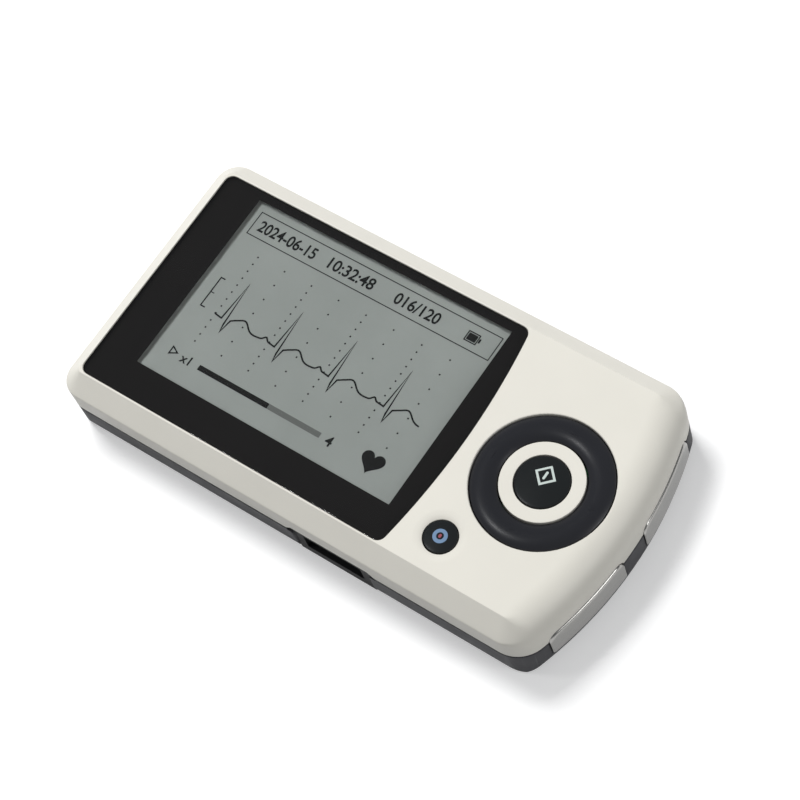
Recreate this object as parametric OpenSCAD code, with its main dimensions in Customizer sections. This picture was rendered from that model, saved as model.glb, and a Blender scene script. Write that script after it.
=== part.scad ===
// Handheld home heart-rhythm monitor.
// Frame: X runs along the case towards the button end, Y across it, Z up to the display.
// The origin is the centre of the underside, on the surface the monitor lies on.

/* [Case] */
// Length of the two plastic shells
case_l = 119.4; // [117:0.2:126]
// Width of the shells
case_w = 61; // [60.6:0.1:64]
// Thickness from the underside to the flat top
case_t = 18; // [18:0.1:21]
// Side wall of both shells
wall = 1.8; // [1.5:0.1:2]
// Roof of the top shell where no window is set in
roof_t = 1.6; // [1.4:0.1:1.7]
// Height of the parting line between the shells
split_z = 8.3; // [7.9:0.1:8.8]
// Width and drop of the 45 degree bevel round the top
bevel = 3.95; // [3.6:0.05:4]
// Plan radius of the two corners away from the buttons
left_corner_r = 5; // [4.6:0.1:6]
// Plan radius of the two corners at the button end
right_corner_r = 7; // [6:0.1:8]
// Plan radius of the bowed button end
end_arc_r = 85; // [78:1:95]
// Radius that rounds the button end over into the top
end_round_r = 6.8; // [5.5:0.1:7]
// Radius round the foot of the lower shell
base_round_r = 2.5; // [1:0.1:2.8]
// Floor of the lower shell
floor_t = 1.8; // [1.6:0.1:2]
// Width and height of the shadow groove at the parting line
reveal = 0.4; // [0.2:0.05:0.6]
// Side gap between pieces that are set into the case
set_gap = 0.1; // [0.06:0.01:0.14]

/* [Display] */
// Distance from the plain end of the case to the lens
lens_inset = 4.3; // [4.2:0.1:5]
// Distance from the bowed lens edge to the ring
lens_to_ring = 3.8; // [3.4:0.1:5]
// Distance from the side of the case to the lens
lens_side = 4.4; // [4.35:0.05:5.5]
// Thickness of the clear lens
lens_t = 1.2; // [1:0.05:1.2]
// Plan radius of the bowed lens edge
lens_arc_r = 156; // [120:1:200]
// Corner radius of the lens
lens_corner_r = 1.8; // [1:0.1:2.5]
// Thickness of the printed mask film behind the lens
mask_t = 0.1; // [0.08:0.01:0.12]
// Thickness of the adhesive tape frame
tape_t = 0.15; // [0.1:0.01:0.16]
// Thickness of the ledge that the lens is stuck to
ledge_t = 0.7; // [0.6:0.05:0.75]
// Printed border from the plain lens end to the window
border_plain = 9; // [8.6:0.1:9.4]
// Printed border from the window to the bowed lens edge
border_bowed = 5.5; // [5:0.1:8]
// Printed border below the window
border_low = 7.6; // [7.4:0.1:9]
// Printed border above the window
border_high = 1.8; // [1.7:0.1:3]
// Border of the display glass round the window
glass_border = 1.3; // [1:0.05:1.4]
// Thickness of the display glass
glass_t = 1.15; // [1:0.05:1.2]
// Thickness of the light guide under the glass
guide_t = 0.85; // [0.8:0.05:0.9]
// Wall of the display holder
holder_wall = 0.6; // [0.5:0.05:0.7]

/* [Buttons] */
// Distance from the button end to the centre of the ring
ring_from_end = 19.4; // [19.2:0.1:20.2]
// Outer radius of the rocker ring
ring_r = 14.1; // [13.6:0.1:14.2]
// Inner radius of the rocker ring
ring_bore_r = 8.8; // [8.6:0.1:9]
// Height of the ring crown above the top of the case
ring_proud = 0.5; // [0.2:0.05:0.8]
// Angle that the ring rocks each way
ring_tilt = 1.5; // [1:0.1:1.5]
// Radius of the start button
start_r = 5.45; // [5:0.05:5.6]
// Height of the start button crown above the top
start_proud = 0.45; // [0.2:0.05:0.8]
// Distance of the power button from the ring centre along the case
power_dx = 10.7; // [10.5:0.1:11.2]
// Distance of the power button from the centre line
power_dy = 19.1; // [18.9:0.1:19.6]
// Radius of the power button
power_r = 3.4; // [3:0.05:3.6]
// Radius of the dish round the power button
dish_r = 5.3; // [4.8:0.1:5.6]
// Depth of the dish
dish_depth = 0.85; // [0.5:0.05:0.95]
// Travel of the two push buttons
key_travel = 0.4; // [0.25:0.05:0.45]
// Radial gap round a moving button
key_gap = 0.22; // [0.15:0.01:0.28]

/* [Electrodes] */
// Distance from the centre line to the near end of each end electrode
pad_from = 3.6; // [3:0.1:4.4]
// Distance from the centre line to the far end of each end electrode
pad_to = 24; // [22.5:0.1:24.4]
// Height of the lower edge of the electrodes
pad_z = 3.2; // [3.1:0.1:3.6]
// Height of the electrode face
pad_h = 6.8; // [6:0.1:7]
// Thickness of an electrode
pad_t = 0.9; // [0.8:0.05:1]
// How far the electrodes stand out of the shells
pad_proud = 0.3; // [0.1:0.05:0.5]
// Radius of the rolled upper edge
pad_roll_r = 0.8; // [0.4:0.05:0.8]
// Corner radius of the electrode seen from outside
pad_corner_r = 2.2; // [1:0.1:3]
// Length of the palm electrode on the plain end
palm_pad_l = 34; // [28:1:38]

/* [Batteries] */
// Radius of an AAA cell
cell_r = 5.25; // [5.1:0.01:5.25]
// Length of the cell body without its nub
cell_l = 43.5; // [43:0.1:43.6]
// Length of the nub
nub_l = 1; // [0.8:0.05:1.1]
// Distance between the two cell axes
cell_pitch = 11.2; // [10.9:0.1:11.4]
// Distance from the button end to the middle of the battery bay
bay_from_end = 22.7; // [22.5:0.1:23]
// Thickness of the battery door
door_t = 1.5; // [1.3:0.1:1.5]
// Width of the door on the outside
door_w = 52; // [51:0.1:52.4]
// Width of the runner along each side of the door
runner_w = 1; // [0.8:0.05:1.2]
// Side gap round the sliding door
door_gap = 0.12; // [0.1:0.01:0.16]

/* [Lead socket] */
// Distance from the button end to the centre of the socket recess
port_from_end = 50.85; // [50:0.05:51.6]
// Length of the recess in the lower shell
port_l = 18.7; // [18.2:0.1:19.6]
// Depth of the recess
port_depth = 5.4; // [5:0.1:5.6]
// Height of the notch that the recess cuts into the top shell
notch_h = 1.4; // [1:0.1:1.6]
// Length of the hollow in the socket
socket_l = 14; // [12:0.1:14.2]
// Height of the hollow in the socket
socket_h = 5; // [4.7:0.05:5.1]
// Depth of the hollow in the socket behind the recess
socket_depth = 6.6; // [6:0.1:6.8]

/* [Circuit board] */
// Thickness of the circuit board
board_t = 0.8; // [0.75:0.05:0.8]
// Gap from the inside of the case to the board edge
board_gap = 1.4; // [1.3:0.1:1.8]
// Height of a snap dome on the board
dome_h = 0.2; // [0.15:0.01:0.22]

/* [Hidden] */
$fn = 96;

// Small distances used throughout
seat_gap = 0.05;      // between stacked pieces that are not glued
touch = 0.02;         // between a rocking ridge and what it rocks on
over = 1;             // how far a cutting shape runs past a face
ease = 0.02;          // how far the end rounding stands outside the faces it meets
hair = 0.004;         // how far a corner stands outside the bowed end, so that the two arcs cross

// Plan of the case
left_x = -case_l / 2;
right_x = case_l / 2;
half_w = case_w / 2;
arc_x = right_x - end_arc_r;
ring_x = right_x - ring_from_end;
bay_x = right_x - bay_from_end;

// Heights from the top down to the board
lens_top = case_t - seat_gap;
lens_z = lens_top - lens_t;
mask_z = lens_z - mask_t;
ledge_top = mask_z - tape_t;
ledge_z = ledge_top - ledge_t;
glass_z = ledge_z - seat_gap - glass_t;
board_top = glass_z - guide_t;
board_z = board_top - board_t;
roof_z = case_t - roof_t;

// Display
lens_left = left_x + lens_inset;
lens_right = ring_x - ring_r - lens_to_ring;
lens_half = half_w - lens_side;
window_left = lens_left + border_plain;
window_right = lens_right - border_bowed;
window_low = border_low - lens_half;
window_high = lens_half - border_high;
opening_margin = 0.5;
ledge_margin = 1.2;
tape_inset = 0.4;
glass_seat = 2;
glass_low = window_low - glass_seat;
glass_high = window_high + glass_border;
glass_left = window_left - glass_seat;
glass_right = window_right + glass_seat;
guide_inset = 0.8;
holder_gap = 0.1;
holder_end_wall = 1.2;
holder_trim = 0.3;
holder_top = glass_z + 0.95;

// Rocker ring: two crossed ridges carry it, one pair under the web and one on top of it
ridge_r = 0.6;
web_t = 0.6;
rock_x_z = board_top + ridge_r + touch;
rock_y_z = rock_x_z + web_t;
ring_flange_z = rock_y_z + ridge_r + touch;
ring_flange_t = 0.6;
ring_flange_r = ring_r + 0.9;
ring_clear = 0.25;
ring_crown = 0.8;
ring_rise = sqrt(2) * ring_flange_r * sin(ring_tilt);
ring_seat_z = ring_flange_z + ring_flange_t + ring_rise + 0.08;
hub_r = ring_bore_r - 0.3;
web_bore_r = hub_r + 0.35;
web_r = ring_flange_r - 0.4;
ring_dome_at = 10.7;
dome_r = 1.9;
ridge_from = ring_dome_at + dome_r + 0.2;

// Push buttons
power_x = ring_x - power_dx;
power_y = -power_dy;
key_flange_w = 1;
key_flange_t = 0.6;
key_stem_r = 1.5;
key_stem_z = board_top + dome_h + key_travel + seat_gap;
start_flange_top = case_t - 1.6;
power_crown = 0.3;
hub_bore_r = start_r + key_gap;
hub_well_r = start_r + key_flange_w + key_gap + 0.2;
peg_r = 0.55;
peg_at = (hub_well_r + hub_r) / 2;

// Battery bay
bay_wall = 1;
bay_side = 0.35;
bay_half_l = cell_pitch / 2 + cell_r + bay_side;
contact_t = 0.3;
leaf_room = 4.8;
bay_half_w = (cell_l + nub_l + leaf_room + contact_t) / 2;
bay_top = board_z - seat_gap;
bay_roof_t = 0.6;
cell_z = door_t + 0.25 + cell_r;
nub_r = 1.9;
tail_slot_w = 3.2;

// Battery door
door_left = bay_x - bay_half_l - 1.8;
door_step = door_t / 2;
door_roof_z = door_t + 0.1;
door_floor_t = 1;
rib_count = 6;
rib_pitch = 1.6;
rib_w = 0.8;
rib_l = 18;
rib_depth = 0.35;
rib_from_end = 17;

// Lead socket
port_x = right_x - port_from_end;
port_left = port_x - port_l / 2;
port_right = port_x + port_l / 2;
port_y = -half_w + port_depth;
port_wall = 1.2;
notch_top = split_z + notch_h;
socket_z = 2.9;
socket_wall = 1;
pin_t = 0.25;
pin_w = 0.8;
pin_count = 8;
pin_pitch = socket_l / pin_count;
pin_top = socket_z + socket_h;
pin_gap = 0.05;
socket_floor_t = 0.5;
socket_roof_t = 0.4;
face_inset = 0.3;

// Screws
boss_r = 2.4;
post_r = 3;
screw_r = 0.9;
screw_hole_r = 1.1;
pilot_r = screw_r + 0.03;
head_r = 1.9;
head_h = 1.2;
head_well_r = head_r + 0.2;
left_screw_at = [left_x + 6.1, half_w - 5.9];
right_screw_at = [right_x - 7.1, 15];
left_head_z = floor_t;
right_head_z = door_roof_z + 1.2;
left_grip = 5;
right_grip = 4;
board_post_r = 1.7;
board_screw_r = 0.8;
board_grip = 1.3;
board_head_r = 1.4;
board_head_h = 0.8;
slot_w = 0.5;
post_from_bay = 3.5;
left_post_side = 13;
high_post_side = 12;
low_post_side = 10;
board_post_x = bay_x - bay_half_l - post_from_bay;
board_post_at = [
    [left_screw_at[0], left_post_side], [left_screw_at[0], -left_post_side],
    [board_post_x, high_post_side], [board_post_x, -low_post_side]
];

// Pieces soldered under the board: place of the lowest corner, then length, width and height
processor_from_left = 35.7;
processor_side = 4;
processor_at = [left_x + processor_from_left, processor_side];
processor_size = [10, 10, 1.4];
memory_from_left = 20.7;
memory_side = 5;
memory_at = [left_x + memory_from_left, memory_side];
memory_size = [8, 8, 1];
shield_from_left = 31.7;
shield_side = -16;
shield_at = [left_x + shield_from_left, shield_side];
shield_size = [18, 14, 2.4];
shield_t = 0.3;

// Sounder, its sound holes and the bed for a rating plate
buzzer_from_left = 24;
buzzer_side = 14;
buzzer_at = [left_x + buzzer_from_left, buzzer_side];
buzzer_r = 6;
buzzer_h = 2;
buzzer_hollow_r = 3.6;
buzzer_hollow_h = 0.8;
sound_hole_r = 0.6;
sound_hole_at = 2.6;
plate_from_left = 37.7;
plate_l = 38;
plate_w = 26;
plate_depth = 0.3;

// Electrodes
pad_gap = 0.25;
pad_back_r = end_arc_r + pad_proud - pad_t;
tab_w = 2.4;
tab_t = 0.8;
tab_z = pad_z + 2.2;
tab_reach = 5;
tab_y = 9;
tab_inner_x = arc_x + sqrt(pow(pad_back_r, 2) - pow(tab_y, 2)) - tab_reach;
palm_face_x = -(arc_x + sqrt(pow(end_arc_r + pad_proud, 2) - pow(pad_from, 2)));
palm_tab_x = palm_face_x + pad_t + tab_reach;
spring_t = 0.3;
spring_w = 2;
spring_foot_l = 2.2;

// Flexible cable of the display
flex_w = 14;
flex_t = 0.15;
flex_slot_x = glass_left - 3.6;
flex_slot_w = 1.2;
flex_run = 1.5;
flex_drop = 0.8;
connector_size = [4, flex_w + 2, 1.5];

// Cell contacts
leaf_w = 5;
nub_plate_w = 7;
contact_half_h = 4;
tail_w = 3;

// Plan with square-sided body, rounded left corners and a bowed right end
module bowed_plan(left, half, left_r, apex, arc_r, right_r) {
    centre = apex - arc_r;
    corner_y = half - right_r;
    corner_x = centre + sqrt(pow(arc_r - right_r, 2) - pow(corner_y, 2)) + hair;
    lean = asin(corner_y / (arc_r - right_r));
    meet_x = centre + arc_r * cos(lean);
    meet_y = arc_r * sin(lean);
    polygon([
        [left, left_r - half], [left + left_r, -half], [corner_x, -half], [meet_x, -meet_y],
        [meet_x, meet_y], [corner_x, half], [left + left_r, half], [left, half - left_r]
    ]);
    for (side = [-1, 1]) {
        translate([left + left_r, side * (half - left_r)]) circle(left_r);
        translate([corner_x, side * corner_y]) circle(right_r);
    }
    intersection() {
        translate([centre, 0]) circle(arc_r);
        translate([meet_x - 1, -meet_y]) square([apex - meet_x + 2, 2 * meet_y]);
    }
}

module case_plan(inset) {
    bowed_plan(left_x + inset, half_w - inset, left_corner_r - inset,
        right_x - inset, end_arc_r - inset, right_corner_r - inset);
}

module lens_plan(grow = 0) {
    bowed_plan(lens_left - grow, lens_half + grow, lens_corner_r + grow,
        lens_right + grow, lens_arc_r + grow, lens_corner_r + grow);
}

// Extrudes a profile drawn in Y and Z along X, from one X to another
module along_x(from, to) {
    translate([from, 0, 0]) rotate([90, 0, 90]) linear_extrude(to - from) children();
}

// Extrudes a profile drawn in X and Z along Y, from one Y to another
module along_y(from, to) {
    translate([0, to, 0]) rotate([90, 0, 0]) linear_extrude(to - from) children();
}

// Box between two corners
module box(low, high) {
    translate(low) cube(high - low);
}

// Cross-section of the top shell on one side of a wall line: straight up, then the bevel
function bevel_profile(reach, low, high, cut) =
    [[0, low], [reach, low], [reach, high - cut], [reach - cut, high], [0, high]];

// Solid form of the top shell, inset by a wall and ending at a height
module top_form(inset, low, high) {
    cut = bevel - (2 - sqrt(2)) * inset;
    half = half_w - inset;
    left = left_x + inset;
    corner = left_corner_r - inset;
    straight_x = left + corner;
    straight_y = half - corner;
    end_r = end_arc_r - inset;
    round_r = end_round_r - inset;
    intersection() {
        translate([0, 0, low]) linear_extrude(high - low) case_plan(inset);
        // The rounding stands a hair outside the wall and the top, so that it runs into both
        translate([arc_x, 0, 0]) rotate_extrude() {
            translate([0, low - over]) square([end_r + ease, high + ease - round_r - low + over]);
            translate([0, low - over]) square([end_r + ease - round_r, high + ease - low + over]);
            translate([end_r + ease - round_r, high + ease - round_r]) circle(round_r);
        }
        union() {
            along_x(straight_x, right_x + over) {
                polygon(bevel_profile(half, low, high, cut));
                mirror([1, 0]) polygon(bevel_profile(half, low, high, cut));
            }
            along_y(-straight_y, straight_y)
                translate([straight_x, 0]) mirror([1, 0])
                    polygon(bevel_profile(corner, low, high, cut));
            for (side = [-1, 1])
                translate([straight_x, side * straight_y, 0]) rotate_extrude()
                    polygon(bevel_profile(corner, low, high, cut));
        }
    }
}

// Profile with rounded lower corners, from one reach to another
module footed_profile(low_reach, high_reach, height) {
    r = base_round_r;
    translate([low_reach, r]) square([high_reach - low_reach, height - r]);
    translate([low_reach + r, 0]) square([high_reach - low_reach - 2 * r, height]);
    translate([low_reach + r, r]) circle(r);
    translate([high_reach - r, r]) circle(r);
}

// Solid form of the lower shell, up to the parting line
module rear_form() {
    intersection() {
        linear_extrude(split_z) case_plan(0);
        along_x(left_x - over, right_x + over) footed_profile(-half_w, half_w, split_z);
        along_y(-half_w - over, half_w + over)
            footed_profile(left_x, right_x + 4 * base_round_r, split_z);
        translate([arc_x, 0, 0]) rotate_extrude() {
            translate([0, base_round_r]) square([end_arc_r, split_z - base_round_r]);
            square([end_arc_r - base_round_r, split_z]);
            translate([end_arc_r - base_round_r, base_round_r]) circle(base_round_r);
        }
    }
}

// Places its children at each housing screw
module at_left_screws() {
    for (side = [-1, 1]) translate([left_screw_at[0], side * left_screw_at[1], 0]) children();
}

module at_right_screws() {
    for (side = [-1, 1]) translate([right_screw_at[0], side * right_screw_at[1], 0]) children();
}

module at_board_posts() {
    for (at = board_post_at) translate([at[0], at[1], 0]) children();
}

// Places its children at each snap dome: four under the ring, one under each button
module at_domes() {
    for (turn = [0:90:270])
        translate([ring_x, 0, 0]) rotate(turn) translate([ring_dome_at, 0, 0]) children();
    translate([ring_x, 0, 0]) children();
    translate([power_x, power_y, 0]) children();
}

// Rounded outline of an electrode as seen from outside, between two places along its length
module pad_face(from, to, grow = 0) {
    r = pad_corner_r;
    low = pad_z - grow;
    high = pad_z + pad_h + grow;
    translate([from - grow, low]) square([to - from + 2 * grow, high - low - r]);
    translate([from - grow + r, low]) square([to - from + 2 * grow - 2 * r, high - low]);
    translate([from - grow + r, high - r]) circle(r);
    translate([to + grow - r, high - r]) circle(r);
}

// Cross-section of an electrode, its outer upper edge rolled over
module pad_section(outer) {
    high = pad_z + pad_h;
    translate([outer - pad_t, pad_z]) square([pad_t, pad_h - pad_roll_r]);
    translate([outer - pad_t, pad_z]) square([pad_t - pad_roll_r, pad_h]);
    intersection() {
        translate([outer - pad_roll_r, high - pad_roll_r]) circle(pad_roll_r);
        translate([outer - pad_roll_r, high - pad_roll_r]) square(pad_roll_r);
    }
}

// Room that the three electrodes take out of the shells
module pad_pockets() {
    for (side = [-1, 1]) intersection() {
        translate([arc_x, 0, 0]) rotate_extrude()
            translate([pad_back_r - seat_gap, 0]) square([pad_t + over, case_t]);
        along_x(0, right_x + over)
            pad_face(side > 0 ? pad_from : -pad_to, side > 0 ? pad_to : -pad_from, pad_gap);
    }
    along_x(left_x - over, palm_face_x + pad_t + seat_gap)
        pad_face(-palm_pad_l / 2, palm_pad_l / 2, pad_gap);
}

// Recess for the face of the lead socket: straight in the lower shell, flared into the top shell
module port_recess() {
    flare = notch_h;
    box([port_left, -half_w - over, -over], [port_right, port_y, split_z + touch]);
    along_y(-half_w - over, port_y) polygon([
        [port_left - flare, split_z - over], [port_left - flare, split_z],
        [port_left, notch_top], [port_right, notch_top],
        [port_right + flare, split_z], [port_right + flare, split_z - over]
    ]);
}

// Shallow dish round the power button
module dish_cut() {
    r = (pow(dish_r, 2) + pow(dish_depth, 2)) / (2 * dish_depth);
    translate([power_x, power_y, case_t - dish_depth + r]) sphere(r);
}

// Upper shell: bevelled white cover that carries the lens, the buttons and the board
module top_cover() {
    color("#e8e6de") difference() {
        union() {
            difference() {
                top_form(0, split_z, case_t);
                top_form(wall, split_z - over, roof_z);
            }
            intersection() {
                translate([0, 0, ledge_z]) linear_extrude(ledge_t) lens_plan(ledge_margin);
                top_form(wall / 2, split_z, case_t);
            }
            intersection() {
                union() {
                    at_left_screws() translate([0, 0, split_z])
                        cylinder(r = boss_r, h = roof_z - split_z);
                    at_right_screws() translate([0, 0, split_z])
                        cylinder(r = boss_r, h = roof_z - split_z);
                    at_board_posts() translate([0, 0, board_top])
                        cylinder(r = board_post_r, h = roof_z - board_top + 0.1);
                }
                top_form(wall / 2, split_z - over, roof_z + 0.1);
            }
            box([port_left - notch_h - port_wall, -half_w + wall / 2, split_z],
                [port_right + notch_h + port_wall, port_y + port_wall, notch_top + port_wall]);
        }
        translate([0, 0, ledge_top]) linear_extrude(case_t) lens_plan(set_gap);
        box([window_left - opening_margin, window_low - opening_margin, ledge_z - over],
            [window_right + opening_margin, window_high + opening_margin, case_t + over]);
        translate([ring_x, 0, 0]) {
            translate([0, 0, split_z]) cylinder(r = ring_r + ring_clear, h = case_t);
            translate([0, 0, split_z])
                cylinder(r = ring_flange_r + 0.5, h = ring_seat_z - split_z);
        }
        translate([power_x, power_y, split_z]) cylinder(r = power_r + key_gap, h = case_t);
        dish_cut();
        at_left_screws() translate([0, 0, split_z - over]) cylinder(r = pilot_r, h = left_grip + 2 * over);
        at_right_screws() translate([0, 0, split_z - over]) cylinder(r = pilot_r, h = right_grip + 2 * over);
        at_board_posts() translate([0, 0, board_top - over])
            cylinder(r = board_screw_r + 0.03, h = board_grip + 0.3 + over);
        pad_pockets();
        port_recess();
    }
}

// Runner profile of the door: wide above, narrow below, so that it hangs on two lips
module door_profile(grow) {
    half = door_w / 2;
    translate([-half - grow, -over]) square([2 * (half + grow), door_t + over]);
    translate([-half - runner_w - grow, door_step])
        square([2 * (half + runner_w + grow), door_t - door_step]);
}

// Lower shell: dark tray with the battery bay, the screw posts and the socket recess
module rear_cover() {
    color("#55565a") difference() {
        union() {
            difference() {
                rear_form();
                translate([0, 0, floor_t]) linear_extrude(case_t) case_plan(wall);
            }
            intersection() {
                box([door_left - door_floor_t, -half_w, door_roof_z],
                    [case_l, half_w, door_roof_z + door_floor_t]);
                translate([0, 0, door_roof_z]) linear_extrude(case_t) case_plan(wall / 2);
            }
            box([bay_x - bay_half_l - bay_wall, -bay_half_w - bay_wall, door_roof_z],
                [bay_x + bay_half_l + bay_wall, bay_half_w + bay_wall, bay_top]);
            at_left_screws() cylinder(r = post_r, h = split_z);
            at_right_screws() translate([0, 0, door_roof_z])
                cylinder(r = post_r, h = split_z - door_roof_z);
            intersection() {
                box([port_left - port_wall, -half_w, 0],
                    [port_right + port_wall, port_y + port_wall, split_z]);
                rear_form();
            }
        }
        // Battery bay, the slot for the door and the seat of its runners
        box([bay_x - bay_half_l, -bay_half_w, -over],
            [bay_x + bay_half_l, bay_half_w, bay_top - bay_roof_t]);
        along_x(door_left - door_gap, case_l) {
            translate([-door_w / 2 - door_gap, -over])
                square([door_w + 2 * door_gap, door_roof_z + over]);
            translate([-door_w / 2 - runner_w - door_gap, door_step - 0.1])
                square([door_w + 2 * (runner_w + door_gap), door_roof_z - door_step + 0.1]);
        }
        // Tails of the two battery contacts go up through the roof of the bay
        for (cell = [-1, 1])
            box([bay_x + (cell * cell_pitch - tail_slot_w) / 2, bay_half_w - contact_t - seat_gap, cell_z],
                [bay_x + (cell * cell_pitch + tail_slot_w) / 2, bay_half_w, case_t]);
        // Screws
        at_left_screws() {
            translate([0, 0, -over]) cylinder(r = screw_hole_r, h = case_t);
            translate([0, 0, -over]) cylinder(r = head_well_r, h = left_head_z + head_h + over);
        }
        at_right_screws() {
            cylinder(r = screw_hole_r, h = case_t);
            cylinder(r = head_well_r, h = right_head_z + head_h);
        }
        // Electrodes and the slots for their tabs
        pad_pockets();
        for (side = [-1, 1])
            box([right_x - 12, side * tab_y - tab_w / 2 - 0.1, tab_z - 0.1],
                [right_x + over, side * tab_y + tab_w / 2 + 0.1, tab_z + tab_t + 0.1]);
        box([left_x - over, -tab_w / 2 - 0.1, tab_z - 0.1],
            [left_x + 4, tab_w / 2 + 0.1, tab_z + tab_t + 0.1]);
        // Recess for the face of the lead socket and the way in for its body
        port_recess();
        box([port_x - socket_l / 2 - socket_wall - set_gap, port_y - over,
                socket_z - socket_floor_t - set_gap],
            [port_x + socket_l / 2 + socket_wall + set_gap, port_y + port_wall + over,
                split_z + over]);
        // Shadow groove round the parting line
        translate([0, 0, split_z - reveal]) linear_extrude(case_t) difference() {
            translate([left_x - over, -half_w - over]) square([case_l + 2 * over, case_w + 2 * over]);
            case_plan(reveal);
        }
        // Sound holes and the shallow bed for a rating plate
        for (turn = [0:60:300])
            translate([buzzer_at[0], buzzer_at[1], -over]) rotate(turn)
                translate([sound_hole_at, 0, 0]) cylinder(r = sound_hole_r, h = floor_t + 2 * over);
        translate([buzzer_at[0], buzzer_at[1], -over])
            cylinder(r = sound_hole_r, h = floor_t + 2 * over);
        translate([left_x + plate_from_left, -plate_w / 2, -over])
            cube([plate_l, plate_w, plate_depth + over]);
    }
}

// Battery door: slides out of the button end on two runners
module battery_door() {
    color("#505155") difference() {
        intersection() {
            along_x(door_left, case_l) door_profile(0);
            rear_form();
        }
        for (rib = [0:rib_count - 1])
            translate([right_x - rib_from_end + rib_pitch * rib, -rib_l / 2, -over])
                cube([rib_w, rib_l, rib_depth + over]);
    }
}

// Clear lens, flush with the top
module display_lens() {
    color([0.75, 0.8, 0.8, 0.35]) translate([0, 0, lens_z]) linear_extrude(lens_t) lens_plan();
}

// Black printed film behind the lens, open at the window
module lens_mask() {
    color("#161616") translate([0, 0, mask_z]) linear_extrude(mask_t) difference() {
        lens_plan();
        translate([window_left, window_low])
            square([window_right - window_left, window_high - window_low]);
    }
}

// Adhesive tape frame between the film and the ledge
module lens_tape() {
    color("#2a2a2a") translate([0, 0, ledge_top]) linear_extrude(tape_t) difference() {
        lens_plan(-tape_inset);
        translate([window_left - opening_margin, window_low - opening_margin])
            square([window_right - window_left + 2 * opening_margin,
                window_high - window_low + 2 * opening_margin]);
    }
}

// Display glass, behind the window
module lcd_glass() {
    color("#93a09b") box([glass_left, glass_low, glass_z],
        [glass_right, glass_high, glass_z + glass_t]);
}

// Light guide under the display glass
module light_guide() {
    color("#e9eee6") box([glass_left + guide_inset, glass_low + guide_inset, board_top],
        [glass_right - guide_inset, glass_high - holder_trim, glass_z]);
}

// Holder that frames the glass and stands on the board
module lcd_holder() {
    color("#d8d8d2") difference() {
        box([glass_left - holder_gap - holder_end_wall,
                glass_low - holder_gap - holder_wall, board_top],
            [glass_right + holder_gap + holder_end_wall,
                glass_high + holder_gap + holder_wall - holder_trim, holder_top]);
        box([glass_left - holder_gap, glass_low - holder_gap, board_top - over],
            [glass_right + holder_gap, glass_high + holder_gap, case_t]);
        box([glass_left - holder_gap - holder_end_wall - over, -flex_w / 2 - 0.2,
                glass_z - holder_trim],
            [glass_left, flex_w / 2 + 0.2, case_t]);
    }
}

// Flexible cable: from the glass edge, down through a slot in the board, to its connector
module lcd_flex() {
    high = glass_z + 0.3;
    low = board_z - flex_drop;
    turn_x = flex_slot_x + flex_slot_w / 2;
    color("#b5743a") along_y(-flex_w / 2, flex_w / 2) polygon([
        [glass_left, high], [glass_left, high + flex_t], [turn_x - flex_t / 2, high + flex_t],
        [turn_x - flex_t / 2, low - flex_t], [turn_x + flex_run, low - flex_t], [turn_x + flex_run, low],
        [turn_x + flex_t / 2, low], [turn_x + flex_t / 2, high]
    ]);
}

// Connector under the board that grips the flexible cable
module flex_connector() {
    color("#e4dfcf") translate([flex_slot_x + flex_slot_w / 2 + flex_run, -connector_size[1] / 2,
        board_z - connector_size[2]]) cube(connector_size);
}

// Circuit board: holds every electrical piece, hangs from four posts of the top shell
module main_board() {
    color("#2f6b3f") difference() {
        translate([0, 0, board_z]) linear_extrude(board_t) case_plan(wall + board_gap);
        at_left_screws() cylinder(r = boss_r + 0.4, h = case_t);
        at_right_screws() cylinder(r = boss_r + 0.4, h = case_t);
        at_board_posts() cylinder(r = board_screw_r + 0.1, h = case_t);
        box([flex_slot_x, -flex_w / 2 - 0.5, 0], [flex_slot_x + flex_slot_w, flex_w / 2 + 0.5, case_t]);
        for (turn = [0:120:240])
            translate([ring_x, 0, 0]) rotate(turn) translate([peg_at, 0, 0])
                cylinder(r = peg_r + 0.05, h = case_t);
    }
}

// Sets its children under the board, from the lowest corner of a piece of that size
module under_board(at, size) {
    translate([at[0], at[1], board_z - size[2]]) children();
}

// Main processor under the board
module processor_chip() {
    color("#222426") under_board(processor_at, processor_size) cube(processor_size);
}

// Memory that stores the recordings
module memory_chip() {
    color("#26282b") under_board(memory_at, memory_size) cube(memory_size);
}

// Metal can over the heart-signal amplifier
module amplifier_shield() {
    color("#b9bcc0") under_board(shield_at, shield_size) difference() {
        cube(shield_size);
        box([shield_t, shield_t, shield_t],
            [shield_size[0] - shield_t, shield_size[1] - shield_t, shield_size[2] + over]);
    }
}

// Six snap domes that the ring and the two buttons press
module snap_domes() {
    color("#c8b26a") at_domes() translate([0, 0, board_top])
        cylinder(r1 = dome_r, r2 = dome_r - 0.8, h = dome_h);
}

// White centre of the ring: stands on the board on three pegs and guides the start button
module ring_hub() {
    color("#e8e6de") difference() {
        union() {
            translate([ring_x, 0, board_top]) cylinder(r = hub_r, h = case_t - board_top);
            for (turn = [0:120:240])
                translate([ring_x, 0, board_z]) rotate(turn) translate([peg_at, 0, 0])
                    cylinder(r = peg_r, h = board_t + 0.5);
        }
        translate([ring_x, 0, board_z]) cylinder(r = hub_bore_r, h = case_t);
        translate([ring_x, 0, board_z]) cylinder(r = hub_well_r, h = start_flange_top + 0.1 - board_z);
    }
}

// Ridge that a plate rocks on, at both sides of the ring
module ridge_pair() {
    for (side = [0, 180]) rotate(side)
        translate([ridge_from, 0, 0]) rotate([0, 90, 0]) cylinder(r = ridge_r, h = web_r - ridge_from);
}

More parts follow.
